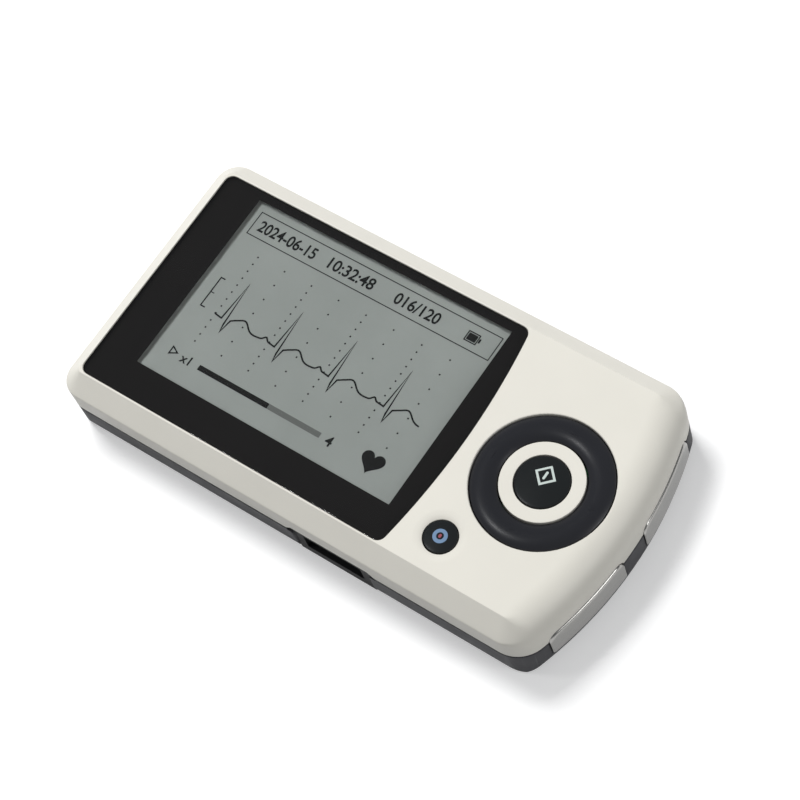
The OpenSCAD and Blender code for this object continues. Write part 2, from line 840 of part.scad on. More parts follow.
// Rubber web under the ring: rocks about X on the board and carries the ring's own rocking axis
module ring_web() {
    color("#3a3a3d") translate([ring_x, 0, 0]) difference() {
        union() {
            translate([0, 0, rock_x_z]) cylinder(r = web_r, h = web_t);
            translate([0, 0, rock_x_z]) ridge_pair();
            translate([0, 0, rock_y_z]) rotate(90) ridge_pair();
        }
        translate([0, 0, rock_x_z - over]) cylinder(r = web_bore_r, h = web_t + 2 * over);
    }
}

// Black rocker ring with a crowned top and four direction marks
module nav_ring() {
    crown_mid = (ring_r + ring_bore_r) / 2;
    half_band = (ring_r - ring_bore_r) / 2;
    crown_r = (pow(half_band, 2) + pow(ring_crown, 2)) / (2 * ring_crown);
    crown_top = case_t + ring_proud;
    color("#26282d") translate([ring_x, 0, 0]) {
        rotate_extrude() {
            translate([ring_bore_r, ring_flange_z])
                square([ring_flange_r - ring_bore_r, ring_flange_t]);
            translate([ring_bore_r, ring_flange_z])
                square([2 * half_band, crown_top - ring_crown - ring_flange_z]);
            intersection() {
                translate([crown_mid, crown_top - crown_r]) circle(crown_r);
                translate([ring_bore_r, case_t - 2]) square([2 * half_band, 4]);
            }
        }
        for (turn = [0:90:270])
            rotate(turn) translate([crown_mid, 0, crown_top - 0.4]) linear_extrude(0.5)
                polygon([[0.55, 0], [-0.35, 0.7], [-0.35, -0.7]]);
    }
}

// Push button: crowned cap, retaining flange and a stem over its dome
module push_button(cap_r, flange_top, edge_z, crown) {
    r = (pow(cap_r, 2) + pow(crown, 2)) / (2 * crown);
    rotate_extrude() {
        intersection() {
            translate([0, edge_z + crown - r]) circle(r);
            translate([0, flange_top - 1]) square([cap_r, case_t]);
        }
        translate([0, flange_top - key_flange_t]) square([cap_r, edge_z - flange_top + key_flange_t]);
        translate([0, flange_top - key_flange_t]) square([cap_r + key_flange_w, key_flange_t]);
        translate([0, key_stem_z]) square([key_stem_r, flange_top - key_stem_z]);
    }
}

module start_button() {
    color("#202424") translate([ring_x, 0, 0])
        push_button(start_r, start_flange_top, case_t, start_proud);
}

module power_button() {
    color("#202222") translate([power_x, power_y, 0])
        push_button(power_r, roof_z - 0.1, case_t - power_crown, power_crown);
}

// Curved end electrode with the tab that goes through the wall of the lower shell
module end_electrode(side) {
    from = side > 0 ? pad_from : -pad_to;
    to = side > 0 ? pad_to : -pad_from;
    color("#c4c2bc") {
        intersection() {
            translate([arc_x, 0, 0]) rotate_extrude() pad_section(end_arc_r + pad_proud);
            along_x(0, right_x + over) pad_face(from, to);
        }
        intersection() {
            box([tab_inner_x, side * tab_y - tab_w / 2, tab_z],
                [right_x, side * tab_y + tab_w / 2, tab_z + tab_t]);
            translate([arc_x, 0, 0]) cylinder(r = pad_back_r + 0.2, h = case_t);
        }
    }
}

module finger_electrode() { end_electrode(1); }

module thumb_electrode() { end_electrode(-1); }

// Straight electrode on the plain end, held against the palm or the chest
module palm_electrode() {
    half = palm_pad_l / 2;
    color("#c4c2bc") {
        intersection() {
            along_y(-half, half) mirror([1, 0]) pad_section(-palm_face_x);
            along_x(left_x - over, left_x + 3) pad_face(-half, half);
        }
        box([palm_face_x + pad_t - 0.2, -tab_w / 2, tab_z], [palm_tab_x, tab_w / 2, tab_z + tab_t]);
    }
}

// Spring that stands on an electrode tab and reaches up to the board
module tab_spring() {
    foot_z = tab_z + tab_t;
    box([0, -spring_w / 2, foot_z], [spring_foot_l, spring_w / 2, foot_z + spring_t]);
    box([0, -spring_w / 2, foot_z], [spring_t, spring_w / 2, board_z]);
}

module electrode_springs() {
    color("#d2c48a") {
        for (side = [-1, 1]) translate([tab_inner_x + 0.3, side * tab_y, 0]) tab_spring();
        translate([palm_tab_x - 0.3, 0, 0]) mirror([1, 0]) tab_spring();
    }
}

// Socket for the lead plug: its black face fills the recess, its body hangs from the board
module lead_socket() {
    left = port_x - socket_l / 2;
    right = port_x + socket_l / 2;
    back = port_y + socket_depth;
    color("#1b1b1d") difference() {
        union() {
            box([port_left + set_gap, face_inset - half_w, face_inset],
                [port_right - set_gap, port_y - seat_gap, notch_top - face_inset]);
            box([left - socket_wall, port_y - over, socket_z - socket_floor_t],
                [right + socket_wall, back + socket_wall, pin_top + socket_roof_t]);
            box([left - socket_wall, port_y + port_wall + 0.3, pin_top],
                [right + socket_wall, back + socket_wall, board_z]);
        }
        box([left, -half_w, socket_z], [right, back, pin_top]);
        for (pin = [0:pin_count - 1])
            translate([left + (pin + 0.5) * pin_pitch, 0, 0])
                box([-pin_w / 2 - pin_gap, back - over, pin_top - pin_t - pin_gap],
                    [pin_w / 2 + pin_gap, back + socket_wall + over, pin_top + pin_gap]);
    }
}

// Contact strips along the roof of the socket, turned up to the board behind it
module socket_contacts() {
    left = port_x - socket_l / 2;
    back = port_y + socket_depth + socket_wall;
    color("#cdb560") for (pin = [0:pin_count - 1]) translate([left + (pin + 0.5) * pin_pitch, 0, 0]) {
        box([-pin_w / 2, port_y + 0.8, pin_top - pin_t], [pin_w / 2, back + 0.1 + pin_t, pin_top]);
        box([-pin_w / 2, back + 0.1, pin_top - pin_t], [pin_w / 2, back + 0.1 + pin_t, board_z]);
    }
}

// AAA cell lying across the case, its nub towards +Y
module battery_cell(body_color) {
    low = bay_half_w - contact_t - nub_l - cell_l;
    translate([0, low, cell_z]) rotate([-90, 0, 0]) {
        color(body_color) cylinder(r = cell_r, h = cell_l);
        color("#c8c8c8") cylinder(r = nub_r, h = cell_l + nub_l);
    }
}

module battery_cell_a() {
    translate([bay_x - cell_pitch / 2, 0, 0]) battery_cell("#3d4a57");
}

module battery_cell_b() {
    translate([bay_x + cell_pitch / 2, 0, 0]) mirror([0, 1, 0]) battery_cell("#3d4a57");
}

// Bent leaf that presses on the flat end of a cell, drawn at the -Y wall of the bay
module leaf_contact() {
    back = -bay_half_w;
    tip = back + leaf_room - seat_gap;
    near = back + contact_t;
    along_x(-leaf_w / 2, leaf_w / 2) polygon([
        [back, cell_z - contact_half_h], [near, cell_z - contact_half_h], [near, cell_z + 3.1],
        [tip - 0.35, cell_z + 0.1], [tip - 2.7, cell_z - 3.2], [tip - 2.4, cell_z - 3.4],
        [tip, cell_z - 0.2], [tip, cell_z + 0.35], [near, cell_z + 3.6],
        [near, cell_z + contact_half_h], [back, cell_z + contact_half_h]
    ]);
}

// Flat contact that a nub presses on, drawn at the -Y wall of the bay
module nub_contact() {
    box([-nub_plate_w / 2, -bay_half_w, cell_z - contact_half_h],
        [nub_plate_w / 2, -bay_half_w + contact_t, cell_z + contact_half_h]);
}

// Tail that takes a contact up through the bay roof to the board, drawn at the -Y wall
module contact_tail() {
    box([-tail_w / 2, -bay_half_w, cell_z + 3], [tail_w / 2, -bay_half_w + contact_t, board_z]);
}

// Joins the two cells in series at the -Y wall
module cell_link() {
    color("#c9c9c4") {
        translate([bay_x - cell_pitch / 2, 0, 0]) leaf_contact();
        translate([bay_x + cell_pitch / 2, 0, 0]) nub_contact();
        box([bay_x - cell_pitch / 2, -bay_half_w, cell_z - contact_half_h],
            [bay_x + cell_pitch / 2, -bay_half_w + contact_t, cell_z - contact_half_h / 2]);
    }
}

module cell_contact_plus() {
    color("#c9c9c4") translate([bay_x - cell_pitch / 2, 0, 0]) mirror([0, 1, 0]) {
        nub_contact();
        contact_tail();
    }
}

module cell_contact_minus() {
    color("#c9c9c4") translate([bay_x + cell_pitch / 2, 0, 0]) mirror([0, 1, 0]) {
        leaf_contact();
        contact_tail();
    }
}

// Sounder glued over the sound holes
module buzzer() {
    color("#3a3326") translate([buzzer_at[0], buzzer_at[1], floor_t]) difference() {
        cylinder(r = buzzer_r, h = buzzer_h);
        translate([0, 0, -over]) cylinder(r = buzzer_hollow_r, h = buzzer_hollow_h + over);
    }
}

// Cross-head screw, its head downwards
module screw(shank_r, head_radius, head_height, length) {
    difference() {
        union() {
            cylinder(r = head_radius, h = head_height);
            cylinder(r = shank_r, h = length);
        }
        for (turn = [0, 90]) rotate(turn)
            translate([-head_radius * 0.55, -slot_w / 2, -over])
                cube([head_radius * 1.1, slot_w, over + head_height / 2]);
    }
}

module housing_screws() {
    color("#8f9093") {
        at_left_screws() translate([0, 0, left_head_z])
            screw(screw_r, head_r, head_h, split_z + left_grip - left_head_z);
        at_right_screws() translate([0, 0, right_head_z])
            screw(screw_r, head_r, head_h, split_z + right_grip - right_head_z);
    }
}

// Four small screws that hold the board to its posts
module board_screws() {
    color("#8f9093") at_board_posts() translate([0, 0, board_z - board_head_h])
        screw(board_screw_r, board_head_r, board_head_h, board_head_h + board_t + board_grip);
}

top_cover();
rear_cover();
battery_door();
display_lens();
lens_mask();
lens_tape();
lcd_glass();
light_guide();
lcd_holder();
lcd_flex();
flex_connector();
main_board();
processor_chip();
memory_chip();
amplifier_shield();
snap_domes();
ring_hub();
ring_web();
nav_ring();
start_button();
power_button();
finger_electrode();
thumb_electrode();
palm_electrode();
electrode_springs();
lead_socket();
socket_contacts();
battery_cell_a();
battery_cell_b();
cell_link();
cell_contact_plus();
cell_contact_minus();
buzzer();
housing_screws();
board_screws();
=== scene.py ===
import math

import bmesh
import bpy
from mathutils import Matrix, Vector
from mathutils.geometry import delaunay_2d_cdt


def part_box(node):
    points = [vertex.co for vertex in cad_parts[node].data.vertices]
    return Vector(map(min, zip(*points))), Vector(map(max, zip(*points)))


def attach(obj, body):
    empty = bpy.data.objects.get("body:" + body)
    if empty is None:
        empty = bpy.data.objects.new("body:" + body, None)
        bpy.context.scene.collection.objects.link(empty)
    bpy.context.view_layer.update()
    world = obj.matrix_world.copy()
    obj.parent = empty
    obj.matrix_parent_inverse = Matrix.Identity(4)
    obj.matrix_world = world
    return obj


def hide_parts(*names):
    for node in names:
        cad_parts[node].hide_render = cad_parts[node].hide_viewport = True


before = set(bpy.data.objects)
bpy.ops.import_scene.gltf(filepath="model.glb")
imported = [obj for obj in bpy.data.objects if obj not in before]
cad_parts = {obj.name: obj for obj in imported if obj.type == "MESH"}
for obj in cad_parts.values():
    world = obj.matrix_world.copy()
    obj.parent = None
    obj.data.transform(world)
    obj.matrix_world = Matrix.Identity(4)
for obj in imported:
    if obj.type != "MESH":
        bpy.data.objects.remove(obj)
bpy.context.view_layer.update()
mm = 0.001

# ---- Upper shell ---------------------------------------------------------------------------
# The bevelled cover of the monitor, injection moulded in warm white ABS with a fine satin
# skin. It is a thin wall with a roof, pierced for the lens, the ring and the power button.
# Four screws from below clamp it to the lower shell.


def linear(red, green, blue):
    """Colour as seen on a screen, 0 to 255, turned into the linear values that shaders take."""
    return tuple(((c / 255 + 0.055) / 1.055) ** 2.4 if c > 10 else c / 3294.6
                 for c in (red, green, blue)) + (1.0,)


def new_material(name):
    """An empty material, its node tree and its main shader."""
    material = bpy.data.materials.new(name)
    material.use_nodes = True
    tree = material.node_tree
    return material, tree, tree.nodes["Principled BSDF"]


def feed(tree, node, values):
    """Sets inputs of a node. Each value is a plain one or the output of another node."""
    for socket, value in dict(values).items():
        if hasattr(value, "is_output"):
            tree.links.new(value, node.inputs[socket])
        else:
            node.inputs[socket].default_value = value


def node_of(tree, kind, values=(), **options):
    """A new node of a tree, with its inputs and its options set."""
    node = tree.nodes.new(kind)
    for option, value in options.items():
        setattr(node, option, value)
    feed(tree, node, values)
    return node


def sum_of(tree, operation, *values):
    """The result of a calculation with plain values or the outputs of other nodes."""
    return node_of(tree, "ShaderNodeMath", dict(enumerate(values)),
                   operation=operation).outputs[0]


def place(tree, stretch=(1, 1, 1)):
    """Object coordinates, stretched so that a pattern can run along one direction."""
    spot = node_of(tree, "ShaderNodeTexCoord").outputs["Object"]
    return node_of(tree, "ShaderNodeMapping", {"Vector": spot, "Scale": stretch}).outputs[0]


def noise(tree, where, feature, detail=2.0, rough=0.5):
    """Noise whose lumps are about as wide as feature, in metres."""
    return node_of(tree, "ShaderNodeTexNoise", {
        "Vector": where, "Scale": 1 / feature, "Detail": detail,
        "Roughness": rough}).outputs["Fac"]


def spread(tree, value, low, high, low_out, high_out):
    """Maps a value from one range to another."""
    return node_of(tree, "ShaderNodeMapRange", {
        "Value": value, "From Min": low, "From Max": high, "To Min": low_out,
        "To Max": high_out}).outputs["Result"]


def blend(tree, amount, first, second):
    """Mixes two colours by a value; each is a colour or another node's output."""
    return node_of(tree, "ShaderNodeMix", {0: amount, 6: first, 7: second},
                   data_type="RGBA").outputs[2]


def patches(tree, where, feature, detail=2.0):
    """Soft patches between 0 and 1, about as wide as feature."""
    return spread(tree, noise(tree, where, feature, detail), 0.3, 0.7, 0.0, 1.0)


def relief(tree, height, depth):
    """Normals for a relief of that depth in metres, from a height of 0 to 1."""
    return node_of(tree, "ShaderNodeBump", {
        "Height": height, "Distance": depth, "Strength": 1.0}).outputs["Normal"]


def darker(colour, share):
    return tuple(c * share for c in colour[:3]) + (1.0,)


def moulded(name, colour, roughness, grain, grain_depth, mottle=0.04, specular=0.5):
    """Moulded plastic or rubber: faint broad colour drift and a fine even grain."""
    material, tree, shader = new_material(name)
    where = place(tree)
    drift = patches(tree, where, 14 * mm, 3.0)
    patchy = noise(tree, where, 5 * mm, 4.0)
    feed(tree, shader, {
        "Base Color": blend(tree, drift, darker(colour, 1 - mottle), colour),
        "Roughness": spread(tree, patchy, 0.3, 0.7, roughness * 0.92, roughness * 1.08),
        "Specular IOR Level": specular,
        "Normal": relief(tree, noise(tree, where, grain, 1.0), grain_depth)})
    return material


def finish_piece(piece, material, body, replaced=(), crease=32):
    """Shades a piece, gives it its material, hangs it on its body and hides the frame parts it
    replaces.
    """
    piece.data.materials.clear()
    piece.data.materials.append(material)
    piece.data.shade_smooth()
    piece.data.set_sharp_from_angle(angle=math.radians(crease))
    flats = piece.modifiers.new("flats stay flat", "WEIGHTED_NORMAL")
    flats.weight = 100
    flats.keep_sharp = True
    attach(piece, body)
    if replaced:
        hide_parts(*replaced)


def put_in(name, data):
    """A new object in the scene for a mesh, a lamp or the like."""
    thing = bpy.data.objects.new(name, data)
    bpy.context.scene.collection.objects.link(thing)
    return thing


def mesh_of(name, shape):
    """A mesh from a bmesh, its faces turned outwards."""
    bmesh.ops.recalc_face_normals(shape, faces=shape.faces)
    mesh = bpy.data.meshes.new(name)
    shape.to_mesh(mesh)
    shape.free()
    return mesh


def piece_from(name, shape):
    return put_in(name, mesh_of(name, shape))


def ring_of(shape, points):
    return [shape.verts.new(p) for p in points]


def skin(shape, first, second):
    """Quads between two closed rings of as many points."""
    count = len(first)
    for i in range(count):
        j = (i + 1) % count
        shape.faces.new((first[i], first[j], second[j], second[i]))


def skins(shape, rings):
    """Quads between each ring and the next."""
    for low, high in zip(rings, rings[1:]):
        skin(shape, low, high)


def inside(x, y, outline):
    """True where a place lies inside a closed outline."""
    found = False
    for (x1, y1), (x2, y2) in zip(outline, outline[1:] + outline[:1]):
        if (y1 > y) != (y2 > y) and x < x1 + (y - y1) * (x2 - x1) / (y2 - y1):
            found = not found
    return found


def cap(shape, outer, holes=(), extra=()):
    """Covers the area between a ring and the holes in it, through any extra points."""
    loops = [outer] + list(holes)
    corners = [v for loop in loops for v in loop] + list(extra)
    flat = [Vector(v.co.xy) * 1000 for v in corners]
    edges, first = [], 0
    for loop in loops:
        edges += [(first + i, first + (i + 1) % len(loop)) for i in range(len(loop))]
        first += len(loop)
    _, _, faces, came_from, _, _ = delaunay_2d_cdt(flat, edges, [], 0, 1e-6)
    outlines = [[tuple(v.co.xy * 1000) for v in loop] for loop in loops]
    for face in faces:
        trio = [came_from[i][0] for i in face]
        x, y = (sum(flat[i][axis] for i in trio) / 3 for axis in (0, 1))
        if inside(x, y, outlines[0]) and not any(inside(x, y, o) for o in outlines[1:]):
            shape.faces.new([corners[i] for i in trio])


def arc(centre, radius, start, end, steps):
    """Points on an arc in the plan, with their outward directions. Angles in degrees."""
    found = []
    for i in range(steps + 1):
        a = math.radians(start + (end - start) * i / steps)
        out = (math.cos(a), math.sin(a))
        found.append(((centre[0] + radius * out[0], centre[1] + radius * out[1]), out))
    return found


cover_low, cover_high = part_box("top_cover")
case_left = cover_low[0]
case_right = cover_high[0]
case_half = cover_high[1]
case_top = cover_high[2]
parting_z = cover_low[2]
left_corner = 5 * mm
right_corner = 7 * mm
end_arc = 85 * mm
end_centre = case_right - end_arc
corner_y = case_half - right_corner
corner_x = end_centre + math.sqrt((end_arc - right_corner) ** 2 - corner_y ** 2)
corner_lean = math.degrees(math.asin(corner_y / (end_arc - right_corner)))
wall = 1.8 * mm
bevel = 3.95 * mm
end_round = 6.8 * mm
end_turn = 70

pad_near = 3.35 * mm
pad_far = 24.25 * mm
pad_top = 10.25 * mm
pad_corner = 2.45 * mm
palm_half = 17.25 * mm
port_box = ((-0.5 * mm, 18.2 * mm), 1.4 * mm)


def pad_edge_places(near, far):
    """Places along an electrode where the case edge above it bends."""
    turns = [pad_corner * (1 - math.cos(math.radians(a))) for a in (38, 45, 55, 68, 90)]
    return [near + t for t in turns] + [far - t for t in turns] + [near + 0.02 * mm, far]


def rim_height(x, y):
    """Height of the lower edge of the upper shell at a place on its outline."""
    near, far = (pad_near, pad_far) if x > 0 else (-palm_half, palm_half)
    along = abs(y) if x > 0 else y
    at_end = x > corner_x or x < case_left + 0.5 * mm
    if at_end and near < along < far:
        side = max(near + pad_corner - along, along - far + pad_corner, 0)
        return max(parting_z, pad_top - pad_corner + math.sqrt(pad_corner ** 2 - side ** 2))
    (port_low, port_high), notch = port_box
    if y < 0 and not at_end:
        reach = max(port_low - x, x - port_high, 0)
        return parting_z + max(notch - reach, 0)
    return parting_z


def case_stations():
    """Places round the outline of the case, each with its outward direction, and how far it
    has turned from the bevelled sides, 0, to the rounded end, 1."""
    left_y = case_half - left_corner
    found = []

    def straight(start, end, out, stops=(), step=3 * mm):
        length = math.dist(start, end)
        marks = [i / math.ceil(length / step) for i in range(math.ceil(length / step))]
        marks += [s for s in stops if 0 < s < 1]
        for share in sorted(set(round(m, 5) for m in marks)):
            spot = tuple(a + (b - a) * share for a, b in zip(start, end))
            found.append((spot, out, 0.0))

    palm = pad_edge_places(-palm_half, palm_half)
    (port_low, port_high), notch = port_box
    bends = [port_low - notch, port_low, port_high, port_high + notch]
    side_start, side_end = case_left + left_corner, corner_x
    straight((case_left, left_y), (case_left, -left_y), (-1, 0),
             [(left_y - y) / (2 * left_y) for y in palm])
    for spot, out in arc((side_start, -left_y), left_corner, 180, 270, 10)[:-1]:
        found.append((spot, out, 0.0))
    straight((side_start, -case_half), (side_end, -case_half), (0, -1),
             [(x - side_start) / (side_end - side_start) for x in bends])
    turn = arc((corner_x, -corner_y), right_corner, 270, 360 - corner_lean, 16)[:-1]
    found += [(spot, out, i / len(turn)) for i, (spot, out) in enumerate(turn)]
    reach = end_arc * math.sin(math.radians(corner_lean))
    places = [reach * i / 14 for i in range(-14, 15)]
    places += [side * y for side in (-1, 1) for y in pad_edge_places(pad_near, pad_far)]
    for y in sorted(set(round(p, 7) for p in places)):
        out = (math.sqrt(end_arc ** 2 - y ** 2) / end_arc, y / end_arc)
        found.append(((end_centre + end_arc * out[0], y), out, 1.0))
    turn = arc((corner_x, corner_y), right_corner, corner_lean, 90, 16)[1:]
    found += [(spot, out, 1 - (i + 1) / len(turn)) for i, (spot, out) in enumerate(turn)]
    straight((side_end, case_half), (side_start, case_half), (0, 1))
    for spot, out in arc((side_start, left_y), left_corner, 90, 180, 10)[:-1]:
        found.append((spot, out, 0.0))
    return found


def fillet(corner, before, after, radius, steps=4):
    """Points that round off a corner of a profile, between the points before and after it."""
    corner, before, after = Vector(corner), Vector(before), Vector(after)
    one, two = (before - corner).normalized(), (after - corner).normalized()
    half = one.angle(two) / 2
    cut = radius / math.tan(half)
    centre = corner + (one + two).normalized() * radius / math.sin(half)
    start, end = corner + one * cut - centre, corner + two * cut - centre
    return [tuple(centre + start.slerp(end, i / steps).normalized() * radius)
            for i in range(steps + 1)]


def side_profile(inset, high, low_r, high_r):
    """Wall, bevel and top edge of the shell, as (distance in from the outline, height)."""
    foot = (inset, case_top - end_round)
    slope = case_top - bevel - inset * (math.sqrt(2) - 1)
    knee = (inset, slope)
    brow = (inset + high - slope, high)
    last = (brow[0] + 0.1 * mm, high)
    points = [foot, tuple((a + b) / 2 for a, b in zip(foot, knee))]
    points += fillet(knee, foot, brow, low_r)
    points += [tuple(a + (b - a) * s for a, b in zip(knee, brow)) for s in (0.35, 0.65)]
    return points + fillet(brow, knee, last, high_r) + [last]


def end_profile(start, end, count):
    """Part of the quarter round of the bowed end, between two angles in degrees."""
    turns = [math.radians(start + (end - start) * i / (count - 1)) for i in range(count)]
    return [(end_round * (1 - math.cos(a)), case_top - end_round * (1 - math.sin(a)))
            for a in turns]


def shell_rings(shape, stations, side, end):
    """Rings over the shell, from a profile for the sides and one for the bowed end."""
    rings = []
    for (side_in, side_z), (end_in, end_z) in zip(side, end):
        ring = []
        for (x, y), (out_x, out_y), turned in stations:
            share = turned * turned * (3 - 2 * turned)
            inward = side_in + (end_in - side_in) * share
            ring.append((x - out_x * inward, y - out_y * inward,
                         side_z + (end_z - side_z) * share))
        rings.append(ring_of(shape, ring))
    return rings


def level_ring(shape, outline, grow, z):
    """A ring along an outline of (place, outward direction), grown outwards, at one height."""
    return ring_of(shape, [(x + ox * grow, y + oy * grow, z) for (x, y), (ox, oy) in outline])


def circle_outline(centre, radius, count=72):
    return arc(centre, radius, 0, 360, count)[:-1]


def turned_rings(shape, centre, profile, count=96):
    """Level rings round an upright axis, from a profile of (radius, height)."""
    around = circle_outline(centre, 1.0, count)
    return [level_ring(shape, around, r - 1, z) for r, z in profile]


lens_low, lens_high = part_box("display_lens")
lens_arc = 156 * mm
lens_corner = 1.8 * mm
lens_gap = 0.1 * mm
lens_half = lens_high[1]
lens_bow = lens_high[0] - lens_arc


def lens_outline(arc_steps=24):
    """Outline of the lens: square plain end, bowed edge towards the buttons."""
    y = lens_half - lens_corner
    x = lens_bow + math.sqrt((lens_arc - lens_corner) ** 2 - y ** 2)
    lean = math.degrees(math.asin(y / (lens_arc - lens_corner)))
    left = lens_low[0] + lens_corner
    return (arc((left, -y), lens_corner, 180, 270, 5)
            + arc((x, -y), lens_corner, 270, 360 - lean, 5)[:-1]
            + arc((lens_bow, 0), lens_arc, -lean, lean, arc_steps)
            + arc((x, y), lens_corner, lean, 90, 5)[1:]
            + arc((left, y), lens_corner, 90, 180, 5))


def rectangle(low, high, corner=0.4 * mm):
    """A rectangular outline with small round corners."""
    found = []
    for x, y, start in ((low[0] + corner, low[1] + corner, 180),
                        (high[0] - corner, low[1] + corner, 270),
                        (high[0] - corner, high[1] - corner, 0),
                        (low[0] + corner, high[1] - corner, 90)):
        found += arc((x, y), corner, start, start + 90, 3)
    return found


def end_height(x, y):
    """Height of the outside at a place near the bowed end."""
    inward = end_arc - math.hypot(x - end_centre, y)
    drop = max(end_round - inward, 0)
    return case_top - end_round + math.sqrt(end_round ** 2 - drop ** 2)


def level_top(x, y):
    return case_top


def edge_round(shape, outline, grow, radius, height_at=level_top, steps=3):
    """Rings that round the mouth of a hole from the outside down into the hole."""
    rings = []
    for i in range(steps + 1):
        a = math.radians(90 * i / steps)
        out, drop = grow + radius * (1 - math.sin(a)), radius * (1 - math.cos(a))
        spots = [(x + ox * out, y + oy * out) for (x, y), (ox, oy) in outline]
        rings.append(ring_of(shape, [(x, y, height_at(x, y) - drop) for x, y in spots]))
    return rings


ring_low, ring_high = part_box("nav_ring")
ring_x = (ring_low[0] + ring_high[0]) / 2
power_low, power_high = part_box("power_button")
power_at = ((power_low[0] + power_high[0]) / 2, (power_low[1] + power_high[1]) / 2)
ring_hole = 14.35 * mm
ring_seat = 15.5 * mm
ring_seat_z = 16.85 * mm
power_hole = 3.62 * mm
power_well = 4.9 * mm
power_well_z = 16.4 * mm
dish_edge = 5.3 * mm
dish_depth = 0.85 * mm
dish_r = (dish_edge ** 2 + dish_depth ** 2) / (2 * dish_depth)
ledge_z = 16.5 * mm
roof_z = 15.8 * mm
seat_room = 3.7 * mm
window_hole = ((-46.9 * mm, -19 * mm), (17.4 * mm, 24.8 * mm))


def build_top_shell():
    shape = bmesh.new()
    stations = case_stations()
    rims = [rim_height(*spot) for spot, _, _ in stations]
    edge = 0.18 * mm

    def rim_ring(inward, lift):
        return ring_of(shape, [(x - ox * inward, y - oy * inward, rim + lift)
                               for ((x, y), (ox, oy), _), rim in zip(stations, rims)])

    outer = [rim_ring(edge, 0), rim_ring(edge * 0.3, edge * 0.3), rim_ring(0, edge)]
    side = side_profile(0, case_top, 0.7 * mm, 0.2 * mm)
    outer += shell_rings(shape, stations, side, end_profile(0, end_turn, len(side)))
    side = side_profile(wall, roof_z, 0.2 * mm, 0.2 * mm)
    low_z, count = case_top - end_round, len(side) - 1
    end = [(wall + (seat_room - wall) * (i / count) ** 2, low_z + (roof_z - low_z) * i / count)
           for i in range(count + 1)]
    inner = [rim_ring(wall, 0)] + shell_rings(shape, stations, side, end)
    for family in (outer, inner):
        skins(shape, family)
    skin(shape, inner[0], outer[0])

    # The top runs on over the bowed end as far as the round goes, between the holes
    flat = bevel + 0.1 * mm
    side = [(flat + (end_round - flat) * i / 4, case_top) for i in range(1, 5)]
    beyond = shell_rings(shape, stations, side, end_profile(end_turn + 5, 90, 4))
    reach = ring_hole + 0.8 * mm
    extra = []
    for vertex, (_, _, turned) in zip([v for r in beyond for v in r], stations * len(beyond)):
        if turned and math.hypot(vertex.co.x - ring_x, vertex.co.y) > reach:
            extra.append(vertex)
        else:
            shape.verts.remove(vertex)

    lens = lens_outline()
    mouth = edge_round(shape, lens, lens_gap, 0.08 * mm)
    mouth.append(level_ring(shape, lens, lens_gap, ledge_z))
    window = rectangle(*window_hole)
    window_rings = [level_ring(shape, window, 0, ledge_z), level_ring(shape, window, 0, roof_z)]

    ring = circle_outline((ring_x, 0), ring_hole)
    ring_rings = edge_round(shape, ring, 0, 0.3 * mm, end_height)
    ring_rings += [level_ring(shape, ring, 0, ring_seat_z),
                   level_ring(shape, ring, ring_seat - ring_hole, ring_seat_z),
                   level_ring(shape, ring, ring_seat - ring_hole, roof_z)]

    bowl = [(dish_edge + 0.16 * mm, case_top), (dish_edge + 0.05 * mm, case_top - 0.03 * mm)]
    for share in (0.97, 0.85, 0.72):
        radius = power_hole + (dish_edge - power_hole) * (share - 0.72) / 0.28 + 0.1 * mm
        drop = dish_depth - dish_r + math.sqrt(dish_r ** 2 - radius ** 2)
        bowl.append((radius, case_top - drop))
    bowl += [(power_hole, bowl[-1][1] - 0.1 * mm), (power_hole, power_well_z),
             (power_well, power_well_z), (power_well, roof_z)]
    bowl = turned_rings(shape, power_at, bowl, 72)

    for family in (mouth, window_rings, ring_rings, bowl):
        skins(shape, family)
    cap(shape, outer[-1], [mouth[0], ring_rings[0], bowl[0]], extra)
    cap(shape, mouth[-1], [window_rings[0]])
    cap(shape, inner[-1], [window_rings[-1], ring_rings[-1], bowl[-1]])
    return piece_from("top_shell", shape)


warm_white = linear(232, 229, 219)
shell_plastic = moulded("satin white ABS", warm_white, 0.42, 0.25 * mm, 0.006 * mm, 0.03, 0.3)
top_shell = build_top_shell()
finish_piece(top_shell, shell_plastic, "housing", ["top_cover"])

# ---- Lower shell ---------------------------------------------------------------------------
# The dark grey tray that the batteries and the electrodes sit in. Moulded ABS with a fine
# spark-eroded texture. It meets the upper shell at a narrow shadow groove.


def dress(node, material):
    """Gives a part that comes from the frame its material."""
    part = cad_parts[node]
    part.data.materials.clear()
    part.data.materials.append(material)


def smoothed(name, node, material, body, crease=28):
    """A frame part's mesh with its points joined, so that its rounds shade smoothly."""
    shape = bmesh.new()
    shape.from_mesh(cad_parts[node].data)
    bmesh.ops.remove_doubles(shape, verts=shape.verts, dist=0.002 * mm)
    piece = piece_from(name, shape)
    finish_piece(piece, material, body, [node], crease)
    return piece


shell_grey = linear(73, 73, 76)
tray_plastic = moulded("spark-eroded grey ABS", shell_grey, 0.6, 0.22 * mm, 0.02 * mm, 0.06, 0.3)
smoothed("lower_shell", "rear_cover", tray_plastic, "housing")

# ---- Battery door --------------------------------------------------------------------------
# The hatch that slides out of the button end on two runners. Same plastic as the tray, a
# touch darker because it is moulded in another tool.
door_plastic = moulded("spark-eroded door ABS", darker(shell_grey, 0.92), 0.62, 0.22 * mm,
                       0.02 * mm, 0.06, 0.3)
smoothed("door_panel", "battery_door", door_plastic, "door")

# ---- Lens ----------------------------------------------------------------------------------
# Flat clear acrylic plate, laser cut with a polished edge, stuck into the top of the case
# over a black printed film that leaves the window clear.


